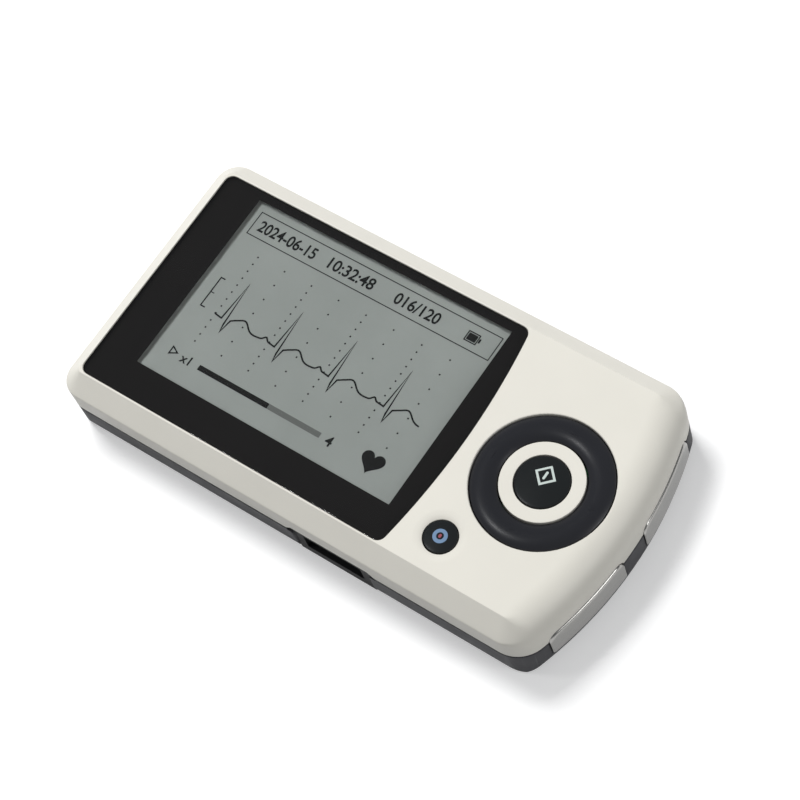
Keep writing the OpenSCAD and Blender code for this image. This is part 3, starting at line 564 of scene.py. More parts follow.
def build_lens():
    shape = bmesh.new()
    outline = lens_outline()
    edge = 0.14 * mm
    rings = [level_ring(shape, outline, 0, lens_low[2]),
             level_ring(shape, outline, 0, lens_high[2] - edge),
             level_ring(shape, outline, -edge * 0.3, lens_high[2] - edge * 0.3),
             level_ring(shape, outline, -edge, lens_high[2])]
    skins(shape, rings)
    cap(shape, rings[0])
    cap(shape, rings[-1])
    return piece_from("lens_plate", shape)


def clear_acrylic(name):
    """Clear plate: glossy above, and light passes it without a dark shadow."""
    material, tree, shader = new_material(name)
    smear = noise(tree, place(tree), 9 * mm, 3.0)
    feed(tree, shader, {
        "Base Color": (0.97, 0.975, 0.97, 1), "Transmission Weight": 1.0, "IOR": 1.45,
        "Roughness": spread(tree, smear, 0.35, 0.7, 0.01, 0.03)})
    rays = node_of(tree, "ShaderNodeLightPath")
    through = node_of(tree, "ShaderNodeBsdfTransparent")
    mix = node_of(tree, "ShaderNodeMixShader", {
        0: rays.outputs["Is Shadow Ray"], 1: shader.outputs[0], 2: through.outputs[0]})
    feed(tree, tree.nodes["Material Output"], {"Surface": mix.outputs[0]})
    return material


lens_plate = build_lens()
finish_piece(lens_plate, clear_acrylic("polished clear acrylic"), "housing",
             ["display_lens"])

# ---- Mask film and tape --------------------------------------------------------------------
# A polyester film with one coat of black ink on its back, and the foam tape frame that
# sticks lens and film to the ledge of the case.
dress("lens_mask", moulded("black screen ink", linear(26, 25, 25), 0.7, 0.3 * mm, 0.0002 * mm,
                           0.1, 0.05))
dress("lens_tape", moulded("black foam tape", linear(34, 33, 33), 0.8, 0.2 * mm, 0.02 * mm, 0.1))

# ---- Display -------------------------------------------------------------------------------
# Reflective grey-green LCD cell behind the window: two glass sheets with a polariser on each,
# sealed round the edge. It lies in a holder on the circuit board, just under the lens.


def lcd_ground(name):
    """Grey-green polariser with a faint grid of display cells and a soft drift in tone."""
    material, tree, shader = new_material(name)
    where = place(tree)
    tone = blend(tree, patches(tree, where, 22 * mm), linear(133, 138, 135),
                 linear(140, 145, 142))
    split = node_of(tree, "ShaderNodeSeparateXYZ", {"Vector": where})
    lines = [spread(tree, sum_of(tree, "PINGPONG", split.outputs[axis], 0.17 * mm),
                    0.0, 0.03 * mm, 1.0, 0.0) for axis in ("X", "Y")]
    faint = spread(tree, sum_of(tree, "MAXIMUM", *lines), 0.0, 1.0, 0.0, 0.12)
    feed(tree, shader, {
        "Base Color": blend(tree, faint, tone, linear(112, 117, 114)), "Roughness": 0.6,
        "Specular IOR Level": 0.1,
        "Normal": relief(tree, noise(tree, where, 0.12 * mm, 1.0), 0.002 * mm)})
    return material


dress("lcd_glass", lcd_ground("grey-green LCD"))

# ---- What the display shows ----------------------------------------------------------------
# The dark cells of the LCD: a heart trace over dotted columns, a line with date, time and
# count, a gain mark, a bar for the time that has run, a heart and a battery symbol.
screen_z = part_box("lcd_glass")[1][2]
ink_t = 0.03 * mm


def raised(shape, loops, height_at, thick):
    """A thin pad between an outer loop and any holes, its top that far above a surface."""
    tops, feet = [], []
    for loop in loops:
        tops.append(ring_of(shape, [(x, y, height_at(x, y) + thick) for x, y in loop]))
        feet.append(ring_of(shape, [(x, y, height_at(x, y) - thick * 0.5) for x, y in loop]))
        skin(shape, feet[-1], tops[-1])
    cap(shape, tops[0], tops[1:])
    cap(shape, feet[0], feet[1:])


def on_screen(x, y):
    return screen_z


def ink(shape, *loops):
    """Dark cells of the screen within closed outlines given in millimetres."""
    raised(shape, [[(x * mm, y * mm) for x, y in loop] for loop in loops], on_screen, ink_t)


def block(left, low, right, high):
    return [(left, low), (right, low), (right, high), (left, high)]


def strokes(points, width):
    """Closed outline of a line through points, with square corners and ends."""
    left, right = [], []
    for i, (x, y) in enumerate(points):
        before = points[max(i - 1, 0)]
        after = points[min(i + 1, len(points) - 1)]
        inward = Vector((x - before[0], y - before[1])).normalized()
        outward = Vector((after[0] - x, after[1] - y)).normalized()
        along = (inward + outward).normalized()
        lean = along.dot(outward if outward.length else inward)
        side = Vector((-along.y, along.x)) * (width / 2 / max(lean, 0.5))
        left.append((x + side.x, y + side.y))
        right.append((x - side.x, y - side.y))
    return right + left[::-1]


def lettering(shape, words, left, middle, height, right=None):
    """Adds words in plain letters, from a left edge on and about a middle line, and squeezed
    to a right edge if one is given."""
    letters = bpy.data.curves.new(words, "FONT")
    letters.body = words
    letters.extrude = 1.0
    letters.offset = 0.018
    holder = put_in(words, letters)
    graph = bpy.context.evaluated_depsgraph_get()
    flat = bpy.data.meshes.new_from_object(holder.evaluated_get(graph))
    bpy.data.objects.remove(holder)
    xs = [v.co.x for v in flat.vertices]
    ys = [v.co.y for v in flat.vertices]
    tall = height / (max(ys) - min(ys))
    wide = tall if right is None else (right - left) / (max(xs) - min(xs))
    for v in flat.vertices:
        v.co = ((left + (v.co.x - min(xs)) * wide) * mm,
                (middle + (v.co.y - (min(ys) + max(ys)) / 2) * tall) * mm,
                screen_z + ink_t * (1 if v.co.z > 0 else -0.5))
    shape.from_mesh(flat)
    bpy.data.meshes.remove(flat)


def bell(x, centre, width):
    return math.exp(-((x - centre) / width) ** 2)


# The trace, in millimetres: where its beats stand, its spikes and the dips after them
beat = 13.6
first_beat = -36.8
rest_y = -1.55
spike_high = 9.2
spike_half = 0.62
dip_deep = 2.9
dip_after = 0.95
dip_half = 0.5


def trace_height(x):
    """Height of the heart trace: a bump, a spike with a dip after it, a broad bump."""
    t = (x - first_beat + 3) % beat - 3
    spike = max(1 - abs(t) / spike_half, 0) * spike_high
    dip = max(1 - abs(t - dip_after) / dip_half, 0) * dip_deep
    broad = 1.55 * bell(t, 4.3, 1.7) + 0.35 * bell(t, 2.2, 1.0)
    early = 0.75 * bell(t, 10.3 - beat, 0.55) + 0.75 * bell(t, 10.3, 0.55)
    return rest_y + spike - dip + broad + early + 0.15 * math.sin(x * 0.9)


def trace_points(start, end, step):
    """Points along the trace: even steps, and only the corners where it spikes."""
    marks = [start + step * i for i in range(int((end - start) / step) + 1)]
    for k in range(4):
        at = first_beat + beat * k
        marks = [m for m in marks if not at - 1.0 < m < at + 1.85]
        marks += [at + turn for turn in (-spike_half, 0, spike_half, dip_after,
                                         dip_after + dip_half)]
    return [(x, trace_height(x)) for x in sorted(marks) if start <= x <= end]


screen = bmesh.new()
header = (-44.8, 16.9, 15.9, 22.6)
line = 0.2
ink(screen, block(*header),
    block(header[0] + line, header[1] + line, header[2] - line, header[3] - line))
for words, left, right in (("2024-06-15", -43.3, -28.7), ("10:32:48", -25.2, -13.9),
                           ("016/120", -8.6, 2.3)):
    lettering(screen, words, left, (header[1] + header[3]) / 2, 2.7, right)
ink(screen, block(8.8, 18.5, 11.7, 20.9), block(9.05, 18.75, 11.45, 20.65))
ink(screen, block(9.2, 18.9, 11.3, 20.5))
ink(screen, block(11.8, 19.2, 12.2, 20.2))
ink(screen, strokes([(-42.0, 5.9), (-43.1, 5.9), (-43.1, -1.35), (-42.0, -1.35)], 0.28))
ink(screen, block(-42.95, 2.1, -42.2, 2.3))
ink(screen, strokes(trace_points(-39.4, 12.2, 0.25), 0.36))
ink(screen, [(-42.4, -13.7), (-40.3, -12.6), (-42.4, -11.5)],
    [(-42.1, -13.2), (-40.95, -12.6), (-42.1, -12.0)])
lettering(screen, "x1", -39.4, -12.9, 2.0, -37.0)
lettering(screen, "4", -2.5, -13.1, 2.3)
bar_low = -13.6
bar_high = -12.4
ink(screen, block(-34.8, bar_low, -17.0, bar_high))
heart_at = (8.35, -12.5)
heart_size = 0.165
heart = [(heart_at[0] + heart_size * 16 * math.sin(t) ** 3,
          heart_at[1] + heart_size * (13 * math.cos(t) - 5 * math.cos(2 * t)
                                      - 2 * math.cos(3 * t) - math.cos(4 * t)))
         for t in (-math.pi * 2 * i / 48 for i in range(48))]
ink(screen, heart)
lcd_dark = moulded("dark LCD cells", linear(6, 7, 7), 0.6, 0.15 * mm, 0.002 * mm, 0.1, 0.05)
finish_piece(piece_from("screen_marks", screen), lcd_dark, "housing")

half_bar = bmesh.new()
ink(half_bar, block(-16.95, bar_low, -4.0, bar_high))
lcd_half = moulded("half-lit LCD cells", linear(92, 95, 93), 0.6, 0.15 * mm, 0.002 * mm, 0.05,
                   0.05)
finish_piece(piece_from("screen_bar", half_bar), lcd_half, "housing")


def new_tree(name, sockets):
    """An empty geometry tree with named inputs, its input node and its output node."""
    tree = bpy.data.node_groups.new(name, "GeometryNodeTree")
    tree.is_modifier = True
    for label, kind in [("Geometry", "Geometry")] + sockets:
        tree.interface.new_socket(label, in_out="INPUT", socket_type="NodeSocket" + kind)
    tree.interface.new_socket("Geometry", in_out="OUTPUT", socket_type="NodeSocketGeometry")
    return tree, tree.nodes.new("NodeGroupInput"), tree.nodes.new("NodeGroupOutput")


def realized(tree, instances, material, result):
    """Ends a tree: its instances made real and given their material."""
    real = node_of(tree, "GeometryNodeRealizeInstances", {"Geometry": instances})
    inked = node_of(tree, "GeometryNodeSetMaterial", {
        "Geometry": real.outputs[0], "Material": material})
    tree.links.new(inked.outputs[0], result.inputs[0])
    return tree


def grown(name, tree, values, seed_mesh=None):
    """A plain mesh made by a geometry tree, its named inputs set by their identifiers."""
    holder = put_in(name + "_seed", seed_mesh or bpy.data.meshes.new(name + "_seed"))
    grow = holder.modifiers.new("grow", "NODES")
    grow.node_group = tree
    for item in tree.interface.items_tree:
        if item.in_out == "INPUT" and item.name in values:
            grow[item.identifier] = values[item.name]
    graph = bpy.context.evaluated_depsgraph_get()
    made = bpy.data.meshes.new_from_object(holder.evaluated_get(graph))
    bpy.data.objects.remove(holder)
    made.name = name
    return put_in(name, made)


def dotted_columns():
    """Columns of dots on a grid, with every other dot left out of every other column."""
    tree, given, result = new_tree("dotted columns", [
        ("Columns", "Int"), ("Rows", "Int"), ("Width", "Float"), ("Height", "Float"),
        ("Dot", "Vector"), ("Place", "Vector"), ("Ink", "Material")])
    told = given.outputs
    grid = node_of(tree, "GeometryNodeMeshGrid", {
        "Size X": told["Width"], "Size Y": told["Height"],
        "Vertices X": told["Columns"], "Vertices Y": told["Rows"]})
    index = node_of(tree, "GeometryNodeInputIndex").outputs[0]
    column = sum_of(tree, "FLOOR", sum_of(tree, "DIVIDE", index, told["Rows"]))
    row = sum_of(tree, "MODULO", index, told["Rows"])
    odd = [sum_of(tree, "MODULO", value, 2.0) for value in (column, row)]
    kept = node_of(tree, "GeometryNodeDeleteGeometry", {
        "Geometry": grid.outputs["Mesh"], "Selection": sum_of(tree, "MULTIPLY", *odd)})
    dot = node_of(tree, "GeometryNodeMeshCube", {"Size": told["Dot"]})
    placed = node_of(tree, "GeometryNodeInstanceOnPoints", {
        "Points": kept.outputs["Geometry"], "Instance": dot.outputs["Mesh"]})
    moved = node_of(tree, "GeometryNodeTransform", {
        "Geometry": placed.outputs["Instances"], "Translation": told["Place"]})
    return realized(tree, moved.outputs[0], told["Ink"], result)


dots = grown("screen_dots", dotted_columns(), {
    "Columns": 8, "Rows": 13, "Width": 48.3 * mm, "Height": 22.0 * mm,
    "Dot": (0.34 * mm, 0.34 * mm, ink_t), "Place": (-14.95 * mm, 2.4 * mm, screen_z),
    "Ink": lcd_dark})
finish_piece(dots, lcd_dark, "housing")

# ---- Everything under the display ----------------------------------------------------------
# A light guide of milky acrylic and the holder that carries it and the glass, moulded in
# polycarbonate. A polyimide cable is bonded to the glass and goes down through a slot in the
# board to its nylon connector.
for node, name, colour, roughness, grain, depth, mottle in (
        ("light_guide", "milky acrylic", (236, 240, 232), 0.3, 0.4, 0.004, 0.04),
        ("lcd_holder", "holder polycarbonate", (222, 221, 214), 0.5, 0.3, 0.01, 0.04),
        ("lcd_flex", "polyimide film", (190, 122, 58), 0.35, 0.5, 0.004, 0.12),
        ("flex_connector", "connector nylon", (229, 224, 208), 0.5, 0.3, 0.01, 0.04)):
    dress(node, moulded(name, linear(*colour), roughness, grain * mm, depth * mm, mottle))

# ---- Circuit board and what is soldered to it ----------------------------------------------
# Glass-fibre board, etched, lacquered green and routed to shape. Two epoxy chips, the
# amplifier's metal can, six snap domes, the sounder and the lead socket are soldered to it,
# and bronze springs join it to the electrodes.


def lacquered(name):
    """Solder mask over copper tracks: two greens in straight runs, glossy."""
    material, tree, shader = new_material(name)
    cells = node_of(tree, "ShaderNodeTexBrick", {
        "Vector": place(tree), "Scale": 1 / (9 * mm), "Mortar Size": 0.06,
        "Color1": linear(36, 92, 54), "Color2": linear(40, 99, 58),
        "Mortar": linear(58, 124, 76)})
    feed(tree, shader, {"Base Color": cells.outputs["Color"], "Roughness": 0.32,
                        "Normal": relief(tree, cells.outputs["Fac"], 0.02 * mm)})
    return material


def metal(name, colour, roughness, stretch, line, depth):
    """Bare metal with a fine directional finish."""
    material, tree, shader = new_material(name)
    where = place(tree, stretch)
    streak = noise(tree, where, line, 3.0, 0.6)
    broad = patches(tree, where, line * 12)
    feed(tree, shader, {
        "Base Color": blend(tree, broad, darker(colour, 0.93), colour),
        "Roughness": spread(tree, streak, 0.3, 0.7, roughness * 0.85, roughness * 1.15),
        "Metallic": 1.0, "Normal": relief(tree, streak, depth)})
    return material


chip_epoxy = moulded("chip epoxy", linear(38, 39, 41), 0.6, 0.15 * mm, 0.01 * mm, 0.1)
tin = metal("tin plate", linear(196, 198, 202), 0.35, (1, 1, 1), 0.6 * mm, 0.004 * mm)
gold = metal("gold plate", linear(214, 186, 104), 0.28, (1, 1, 1), 0.5 * mm, 0.002 * mm)
bronze = metal("spring bronze", linear(206, 182, 128), 0.32, (1, 6, 1), 0.4 * mm, 0.002 * mm)
socket_plastic = moulded("socket nylon", linear(20, 20, 22), 0.6, 0.2 * mm, 0.01 * mm, 0.1, 0.2)
buzzer_plastic = moulded("sounder case", linear(34, 32, 30), 0.45, 0.2 * mm, 0.01 * mm, 0.1)
for node, material in (("main_board", lacquered("green solder mask")),
                       ("processor_chip", chip_epoxy), ("memory_chip", chip_epoxy),
                       ("amplifier_shield", tin), ("snap_domes", gold),
                       ("lead_socket", socket_plastic), ("socket_contacts", gold),
                       ("buzzer", buzzer_plastic), ("electrode_springs", bronze)):
    dress(node, material)

# ---- Cells and their contacts --------------------------------------------------------------
# Two AAA cells: steel cans in blue-grey shrink jackets that leave their ends bare. The contacts
# are stamped from nickel-plated spring steel and stand against the walls of the battery bay,
# two of them with tails that go up through its roof to the board.
nickel = metal("nickel plate", linear(206, 205, 200), 0.3, (1, 1, 1), 0.5 * mm, 0.002 * mm)
jacket_half = 21.2 * mm
stripe_half = 9.0 * mm


def jacketed(name):
    """Shrink film with a pale stripe round its middle, and bare steel past its two ends."""
    material = moulded(name, linear(62, 76, 92), 0.28, 0.6 * mm, 0.003 * mm, 0.08)
    tree = material.node_tree
    shader = tree.nodes["Principled BSDF"]
    film = shader.inputs["Base Color"].links[0].from_socket
    split = node_of(tree, "ShaderNodeSeparateXYZ", {"Vector": place(tree)})
    off = sum_of(tree, "ABSOLUTE", split.outputs["Y"])
    stripe = spread(tree, off, stripe_half, stripe_half + 0.05 * mm, 1.0, 0.0)
    bare = spread(tree, off, jacket_half, jacket_half + 0.02 * mm, 0.0, 1.0)
    printed = blend(tree, stripe, film, linear(168, 174, 178))
    feed(tree, shader, {"Base Color": blend(tree, bare, printed, linear(196, 195, 190)),
                        "Metallic": bare})
    return material


jacket = jacketed("cell jacket")
for node, material in (("battery_cell_a", jacket), ("battery_cell_b", jacket),
                       ("cell_link", nickel), ("cell_contact_plus", nickel),
                       ("cell_contact_minus", nickel)):
    dress(node, material)

# ---- Screws --------------------------------------------------------------------------------
# Cross-head tapping screws, cold formed from steel wire with rolled threads and zinc plated.
# Four come up through the lower shell into bosses of the upper one, and four hold the board.
zinc = metal("zinc plate", linear(150, 151, 154), 0.35, (1, 1, 1), 0.4 * mm, 0.003 * mm)
dress("housing_screws", zinc)
dress("board_screws", zinc)

# ---- Ring, hub and web ---------------------------------------------------------------------
# A ring of soft-touch black rubber rocks on a web of moulded silicone. It goes round a fixed
# white hub, an ABS sleeve that guides the start button and has three pegs in the board.
hub_low, hub_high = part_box("ring_hub")
ring_inner = 8.8 * mm
ring_outer = 14.1 * mm
ring_crown = 0.8 * mm
ring_foot = ring_low[2]
ring_crown_top = 18.5 * mm
flange_t = 0.6 * mm
flange_r = 15.0 * mm


def lathe(name, profile, centre):
    """A turned piece: a closed profile of (radius, height) spun round an upright axis."""
    shape = bmesh.new()
    rings = turned_rings(shape, centre, profile)
    skins(shape, rings + rings[:1])
    return piece_from(name, shape)


def crown_points(inner, outer, top, rise, count=12):
    """Points over a crowned band, from its inner to its outer edge."""
    middle, half = (inner + outer) / 2, (outer - inner) / 2
    radius = (half ** 2 + rise ** 2) / (2 * rise)
    return [(middle + half * s, top - radius + math.sqrt(radius ** 2 - (half * s) ** 2))
            for s in (-1 + 2 * i / count for i in range(count + 1))]


edge_r = 0.3 * mm
crown = crown_points(ring_inner + edge_r * 0.6, ring_outer - edge_r * 0.6, ring_crown_top,
                     ring_crown)
ring_profile = ([(ring_inner, ring_foot), (ring_inner, crown[0][1] - edge_r)]
                + [(ring_inner + 0.05 * mm, crown[0][1] - 0.1 * mm)] + crown
                + [(ring_outer - 0.05 * mm, crown[-1][1] - 0.1 * mm)]
                + [(ring_outer, crown[-1][1] - edge_r), (ring_outer, ring_foot + flange_t),
                   (flange_r, ring_foot + flange_t), (flange_r, ring_foot)])
rocker = lathe("rocker_ring", ring_profile, (ring_x, 0))
ring_rubber = moulded("soft-touch black", linear(32, 33, 38), 0.32, 0.2 * mm, 0.005 * mm, 0.1,
                      0.55)
finish_piece(rocker, ring_rubber, "ring", ["nav_ring"])

hub_r = 8.5 * mm
hub_bore = 5.67 * mm
hub_well = 6.87 * mm
hub_shelf_z = 16.5 * mm
hub_edge = 0.2 * mm
hub_foot_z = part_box("main_board")[1][2]
peg_r = 0.55 * mm


def build_hub():
    """Sleeve with a guide bore, a wider well under it and three pegs through the board."""
    shape = bmesh.new()
    profile = [(hub_well, hub_foot_z), (hub_well, hub_shelf_z), (hub_bore, hub_shelf_z),
               (hub_bore, hub_high[2] - hub_edge),
               (hub_bore + hub_edge * 0.3, hub_high[2] - hub_edge * 0.3),
               (hub_bore + hub_edge, hub_high[2]), (hub_r - hub_edge, hub_high[2]),
               (hub_r - hub_edge * 0.3, hub_high[2] - hub_edge * 0.3),
               (hub_r, hub_high[2] - hub_edge), (hub_r, hub_foot_z)]
    rings = turned_rings(shape, (ring_x, 0), profile)
    skins(shape, rings)
    pegs = []
    for turn in (0, 120, 240):
        reach = (hub_well + hub_r) / 2
        spot = (ring_x + reach * math.cos(math.radians(turn)), reach * math.sin(math.radians(turn)))
        peg = circle_outline(spot, peg_r, 20)
        pegs.append(level_ring(shape, peg, 0, hub_foot_z))
        tip = [level_ring(shape, peg, 0, hub_low[2] + 0.1 * mm),
               level_ring(shape, peg, -0.1 * mm, hub_low[2])]
        skin(shape, pegs[-1], tip[0])
        skin(shape, tip[0], tip[1])
        cap(shape, tip[1])
    cap(shape, rings[-1], [rings[0]] + pegs)
    return piece_from("hub_sleeve", shape)


finish_piece(build_hub(), shell_plastic, "housing", ["ring_hub"])
smoothed("rocker_web", "ring_web", moulded("silicone web", linear(52, 52, 55), 0.7, 0.2 * mm,
                                           0.01 * mm, 0.1), "web")


def crown_height(edge_z, rise, half, centre, middle=0.0):
    """Height over a crowned cap, or over a crowned band whose middle radius is given."""
    radius = (half ** 2 + rise ** 2) / (2 * rise)

    def height(x, y):
        off = math.hypot(x - centre[0], y - centre[1]) - middle
        return edge_z + rise - radius + math.sqrt(radius ** 2 - off ** 2)
    return height


def turned_marks():
    """Copies of a mark, turned round an upright axis."""
    tree, given, result = new_tree("marks round the ring", [
        ("Count", "Int"), ("Centre", "Vector"), ("Rubber", "Material")])
    told = given.outputs
    index = node_of(tree, "GeometryNodeInputIndex").outputs[0]
    share = sum_of(tree, "DIVIDE", index, told["Count"])
    turn = node_of(tree, "ShaderNodeCombineXYZ", {"Z": sum_of(tree, "MULTIPLY", share, math.tau)})
    spots = node_of(tree, "GeometryNodePoints", {
        "Count": told["Count"], "Position": told["Centre"]})
    placed = node_of(tree, "GeometryNodeInstanceOnPoints", {
        "Points": spots.outputs[0], "Instance": told["Geometry"],
        "Rotation": turn.outputs[0]})
    return realized(tree, placed.outputs[0], told["Rubber"], result)


band_middle = (ring_inner + ring_outer) / 2
band_half = (ring_outer - ring_inner) / 2
over_ring = crown_height(ring_crown_top - ring_crown, ring_crown, band_half, (0, 0), band_middle)
mark = bmesh.new()
corners = [(0.55, 0), (-0.35, 0.7), (-0.35, -0.7)]
raised(mark, [[(band_middle + x * mm, y * mm) for x, y in corners]], over_ring, 0.07 * mm)
ring_marks = grown("direction_marks", turned_marks(), {
    "Count": 4, "Centre": (ring_x, 0, 0), "Rubber": ring_rubber}, mesh_of("mark", mark))
finish_piece(ring_marks, ring_rubber, "ring")

# ---- Start and power buttons ---------------------------------------------------------------
# Crowned black caps of gloss ABS, each with a flange that keeps it in and a stem over its
# dome. The marks are pad printed: a start sign, a bar in a diamond, and a standby target.
button_plastic = moulded("gloss black ABS", linear(28, 31, 32), 0.32, 0.3 * mm, 0.003 * mm,
                         0.08, 0.35)
stem_r = 1.5 * mm
button_flange_w = 1.0 * mm
button_flange_t = 0.6 * mm


def build_button(name, centre, cap_r, flange_top, edge_z, rise, low):
    """A cap turned round its axis: stem, flange, cap wall, rounded edge and crown."""
    shape = bmesh.new()
    edge = 0.22 * mm
    over_cap = crown_height(edge_z, rise, cap_r, (0, 0))
    crown_rim = over_cap(cap_r - edge, 0)
    flange_low = flange_top - button_flange_t
    profile = [(stem_r - 0.15 * mm, low), (stem_r, low + 0.15 * mm), (stem_r, flange_low),
               (cap_r + button_flange_w, flange_low), (cap_r + button_flange_w, flange_top),
               (cap_r, flange_top), (cap_r, crown_rim - edge),
               (cap_r - edge * 0.3, crown_rim - edge * 0.3)]
    profile += [((cap_r - edge) * s, over_cap((cap_r - edge) * s, 0))
                for s in (1, 0.93, 0.84, 0.73, 0.6, 0.45, 0.3, 0.15, 0.05)]
    rings = turned_rings(shape, centre, profile)
    skins(shape, rings)
    cap(shape, rings[0])
    cap(shape, rings[-1])
    return piece_from(name, shape)


start_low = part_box("start_button")[0]
start_r = 5.45 * mm
start_rise = 0.45 * mm
start_at = (ring_x, 0)
finish_piece(build_button("start_cap", start_at, start_r, case_top - 1.6 * mm, case_top,
                          start_rise, start_low[2]),
             button_plastic, "start", ["start_button"])
power_r = 3.4 * mm
power_rise = 0.3 * mm
finish_piece(build_button("power_cap", power_at, power_r, case_top - 1.7 * mm,
                          case_top - power_rise, power_rise, power_low[2]),
             button_plastic, "power", ["power_button"])

print_t = 0.02 * mm
over_start = crown_height(case_top, start_rise, start_r, start_at)
over_power = crown_height(case_top - power_rise, power_rise, power_r, power_at)


def about(centre, points):
    return [(centre[0] + x * mm, centre[1] + y * mm) for x, y in points]


def round_bar(half_length, half_width, steps=8):
    """Outline of an upright bar with round ends."""
    ends = arc((0, half_length - half_width), half_width, 0, 180, steps)
    ends += arc((0, half_width - half_length), half_width, 180, 360, steps)
    return [spot for spot, _ in ends]


def diamond(half, steps=4):
    """Outline of a square that stands on a corner, with points along its sides."""
    corners = [(half, 0), (0, half), (-half, 0), (0, -half)]
    return [(a[0] + (b[0] - a[0]) * i / steps, a[1] + (b[1] - a[1]) * i / steps)
            for a, b in zip(corners, corners[1:] + corners[:1]) for i in range(steps)]


sign_at = (ring_x, 1.3 * mm)
sign = bmesh.new()
for loops in ([diamond(2.4), diamond(1.75)], [round_bar(0.92, 0.26)]):
    raised(sign, [about(sign_at, loop) for loop in loops], over_start, print_t)
target = bmesh.new()
raised(target, [[spot for spot, _ in circle_outline(power_at, radius * mm, 48)]
                for radius in (1.5, 0.75)], over_power, print_t)
bar = bmesh.new()
raised(bar, [about(power_at, round_bar(0.42, 0.3))], over_power, print_t)
for name, shape, body, tint, colour in (
        ("start_sign", sign, "start", "pale", linear(205, 216, 211)),
        ("power_ring_print", target, "power", "blue", linear(118, 146, 178)),
        ("power_bar_print", bar, "power", "red", linear(158, 84, 96))):
    print_ink = moulded(tint + " pad print", colour, 0.5, 0.1 * mm, 0.002 * mm, 0.05)
    finish_piece(piece_from(name, shape), print_ink, body)

# ---- Electrodes ----------------------------------------------------------------------------
# Three plates pressed from stainless steel sheet, brushed along their length. The upper edge
# and the corners are rolled over. A tab of each goes through the wall of the lower shell.
pad_proud = 0.3 * mm
pad_t = 0.9 * mm
pad_low_z = 3.2 * mm
pad_high_z = 10.0 * mm
pad_round = 2.2 * mm
pad_roll = 0.8 * mm
pad_edge = 0.22 * mm
tab_half_w = 1.2 * mm
tab_low_z = 5.4 * mm
tab_t = 0.8 * mm
tab_reach = 5 * mm


def pad_outline(near, far, step=1.4 * mm):
    """Outline of an electrode seen from outside: small lower corners, round upper ones."""
    small = 0.5 * mm
    count = math.ceil((far - near - 2 * pad_round) / step)
    inner = [near + pad_round + (far - near - 2 * pad_round) * i / count
             for i in range(1, count)]
    outline = arc((near + small, pad_low_z + small), small, 180, 270, 4)
    outline += [((s, pad_low_z), (0, -1)) for s in [near + pad_round] + inner + [far - pad_round]]
    outline += arc((far - small, pad_low_z + small), small, 270, 360, 4)
    outline += arc((far - pad_round, pad_high_z - pad_round), pad_round, 0, 90, 10)
    outline += [((s, pad_high_z), (0, 1)) for s in reversed(inner)]
    return outline + arc((near + pad_round, pad_high_z - pad_round), pad_round, 90, 180, 10)


def build_electrode(name, near, far, tab_at, place_of):
    """A plate built flat, as (along, height, depth), and then put on the end of the case."""
    shape = bmesh.new()
    outline = pad_outline(near, far)

    def inset_ring(angle):
        a = math.radians(angle)
        ring = []
        for (s, h), (out_s, out_h) in outline:
            r = pad_edge + (pad_roll - pad_edge) * max(out_h, 0) ** 0.5
            cut = r * (1 - math.cos(a))
            ring.append((s - out_s * cut, h - out_h * cut, -r * (1 - math.sin(a))))
        return ring_of(shape, ring)

    back = level_ring(shape, outline, -0.15 * mm, -pad_t)
    rings = [back, level_ring(shape, outline, 0, -pad_t + 0.08 * mm)]
    rings += [inset_ring(angle) for angle in (0, 15, 30, 45, 60, 75, 90)]
    skins(shape, rings)
    heights = [pad_low_z + (pad_high_z - pad_low_z) * share for share in (0.25, 0.5, 0.75)]
    along = [near + (far - near) * i / 16 for i in range(1, 16)]
    extra = [shape.verts.new((s, h, 0)) for s in along for h in heights]
    cap(shape, rings[-1], (), extra)
    tab = block(tab_at - tab_half_w, tab_low_z, tab_at + tab_half_w, tab_low_z + tab_t)
    root = ring_of(shape, [(s, h, -pad_t) for s, h in tab])
    tip = ring_of(shape, [(s, h, -pad_t - tab_reach) for s, h in tab])
    skin(shape, root, tip)
    cap(shape, tip)
    extra = [shape.verts.new((s, h, -pad_t)) for s in along for h in heights
             if abs(s - tab_at) > 2 * tab_half_w]
    cap(shape, back, [root], extra)
    for vertex in shape.verts:
        vertex.co = place_of(*vertex.co)
    return piece_from(name, shape)


def on_bowed_end(s, h, depth):
    reach = end_arc + pad_proud + depth
    return end_centre + math.sqrt(reach ** 2 - s ** 2), s, h


palm_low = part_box("palm_electrode")[0]


def on_plain_end(s, h, depth):
    return palm_low[0] - depth, s, h


steel = metal("brushed stainless steel", linear(165, 164, 161), 0.24, (12, 1, 12), 0.5 * mm,
              0.004 * mm)
pads = (("finger_plate", 3.6 * mm, 24 * mm, 9 * mm, on_bowed_end, "finger_electrode"),
        ("thumb_plate", -24 * mm, -3.6 * mm, -9 * mm, on_bowed_end, "thumb_electrode"),
        ("palm_plate", -17 * mm, 17 * mm, 0, on_plain_end, "palm_electrode"))
for name, near, far, tab_at, place_of, node in pads:
    finish_piece(build_electrode(name, near, far, tab_at, place_of), steel, "housing",
                 [node])

# ---- Stage, light and camera ---------------------------------------------------------------
# A pale table that looks evenly lit, and the photograph's viewpoint. The key light stands high
# towards the plain end, a lower one beyond the button end lights the electrodes, and a small
# one puts highlights on the ring. The sky softens the shadows.


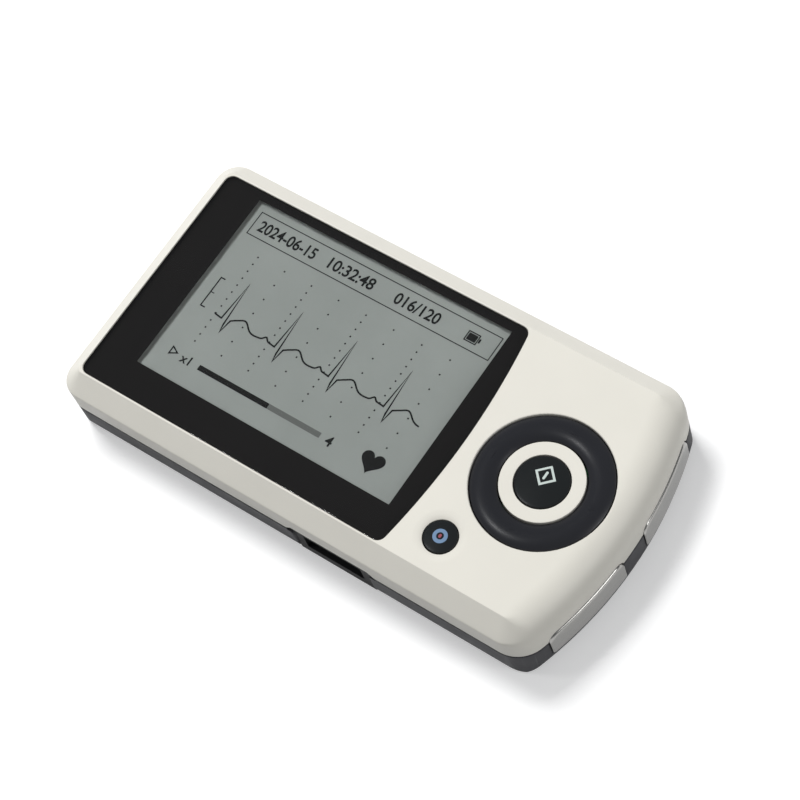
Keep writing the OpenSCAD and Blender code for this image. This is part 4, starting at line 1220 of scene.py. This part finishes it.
def build_floor():
    """A wide sheet just under the case, brighter to the camera than to the case itself."""
    shape = bmesh.new()
    bmesh.ops.create_grid(shape, x_segments=1, y_segments=1, size=3.0)
    bmesh.ops.translate(shape, verts=shape.verts, vec=(0, 0, -0.1 * mm))
    mesh = bpy.data.meshes.new("floor")
    shape.to_mesh(mesh)
    shape.free()
    material, tree, shader = new_material("pale table")
    tree.nodes.remove(shader)
    rays = node_of(tree, "ShaderNodeLightPath").outputs
    seen = sum_of(tree, "MAXIMUM", rays["Is Camera Ray"], rays["Is Glossy Ray"])
    seen = sum_of(tree, "MAXIMUM", seen, rays["Is Transmission Ray"])
    matt = node_of(tree, "ShaderNodeBsdfDiffuse", {
        "Color": spread(tree, seen, 0.0, 1.0, 0.42, 0.78)})
    glow = node_of(tree, "ShaderNodeEmission", {
        "Strength": spread(tree, seen, 0.0, 1.0, 0.0, 0.36)})
    both = node_of(tree, "ShaderNodeAddShader", {0: matt.outputs[0], 1: glow.outputs[0]})
    feed(tree, tree.nodes["Material Output"], {"Surface": both.outputs[0]})
    mesh.materials.append(material)
    return put_in("floor", mesh)


build_floor()


def soft_light(name, place_at, size, power, mirrored=True):
    """A square soft box that faces the case. The lens can be kept from mirroring it."""
    lamp = bpy.data.lights.new(name, "AREA")
    lamp.size = size
    lamp.energy = power
    thing = put_in(name, lamp)
    thing.visible_glossy = mirrored
    thing.visible_transmission = mirrored
    thing.location = place_at
    thing.rotation_euler = (-Vector(place_at)).to_track_quat("-Z", "Y").to_euler()


soft_light("key", (-0.54, 0.22, 1.0), size=0.38, power=10.2, mirrored=False)
soft_light("end", (0.95, 0.15, 0.48), size=0.4, power=2.2)
soft_light("accent", (-0.41, -0.25, 0.86), size=0.12, power=0.9)

world = bpy.data.worlds.new("room")
bpy.context.scene.world = world
world.use_nodes = True
sky = world.node_tree.nodes["Background"]
sky.inputs["Color"].default_value = (0.95, 0.97, 1.0, 1)
sky.inputs["Strength"].default_value = 0.25

camera_data = bpy.data.cameras.new("camera")
camera_data.sensor_width = 36
camera_data.lens = 114.6
camera_data.clip_end = 20
camera = put_in("camera", camera_data)
camera_at = Vector((0.2057, -0.1348, 0.4517))
camera_aim = Vector((0.0063, 0.0007, 0.018))
camera_roll = math.radians(-23.44)
turn = (camera_aim - camera_at).to_track_quat("-Z", "Y").to_matrix()
camera.matrix_world = (Matrix.Translation(camera_at)
                       @ (turn @ Matrix.Rotation(camera_roll, 3, "Z")).to_4x4())
bpy.context.scene.camera = camera
bpy.context.scene.view_settings.view_transform = "Standard"
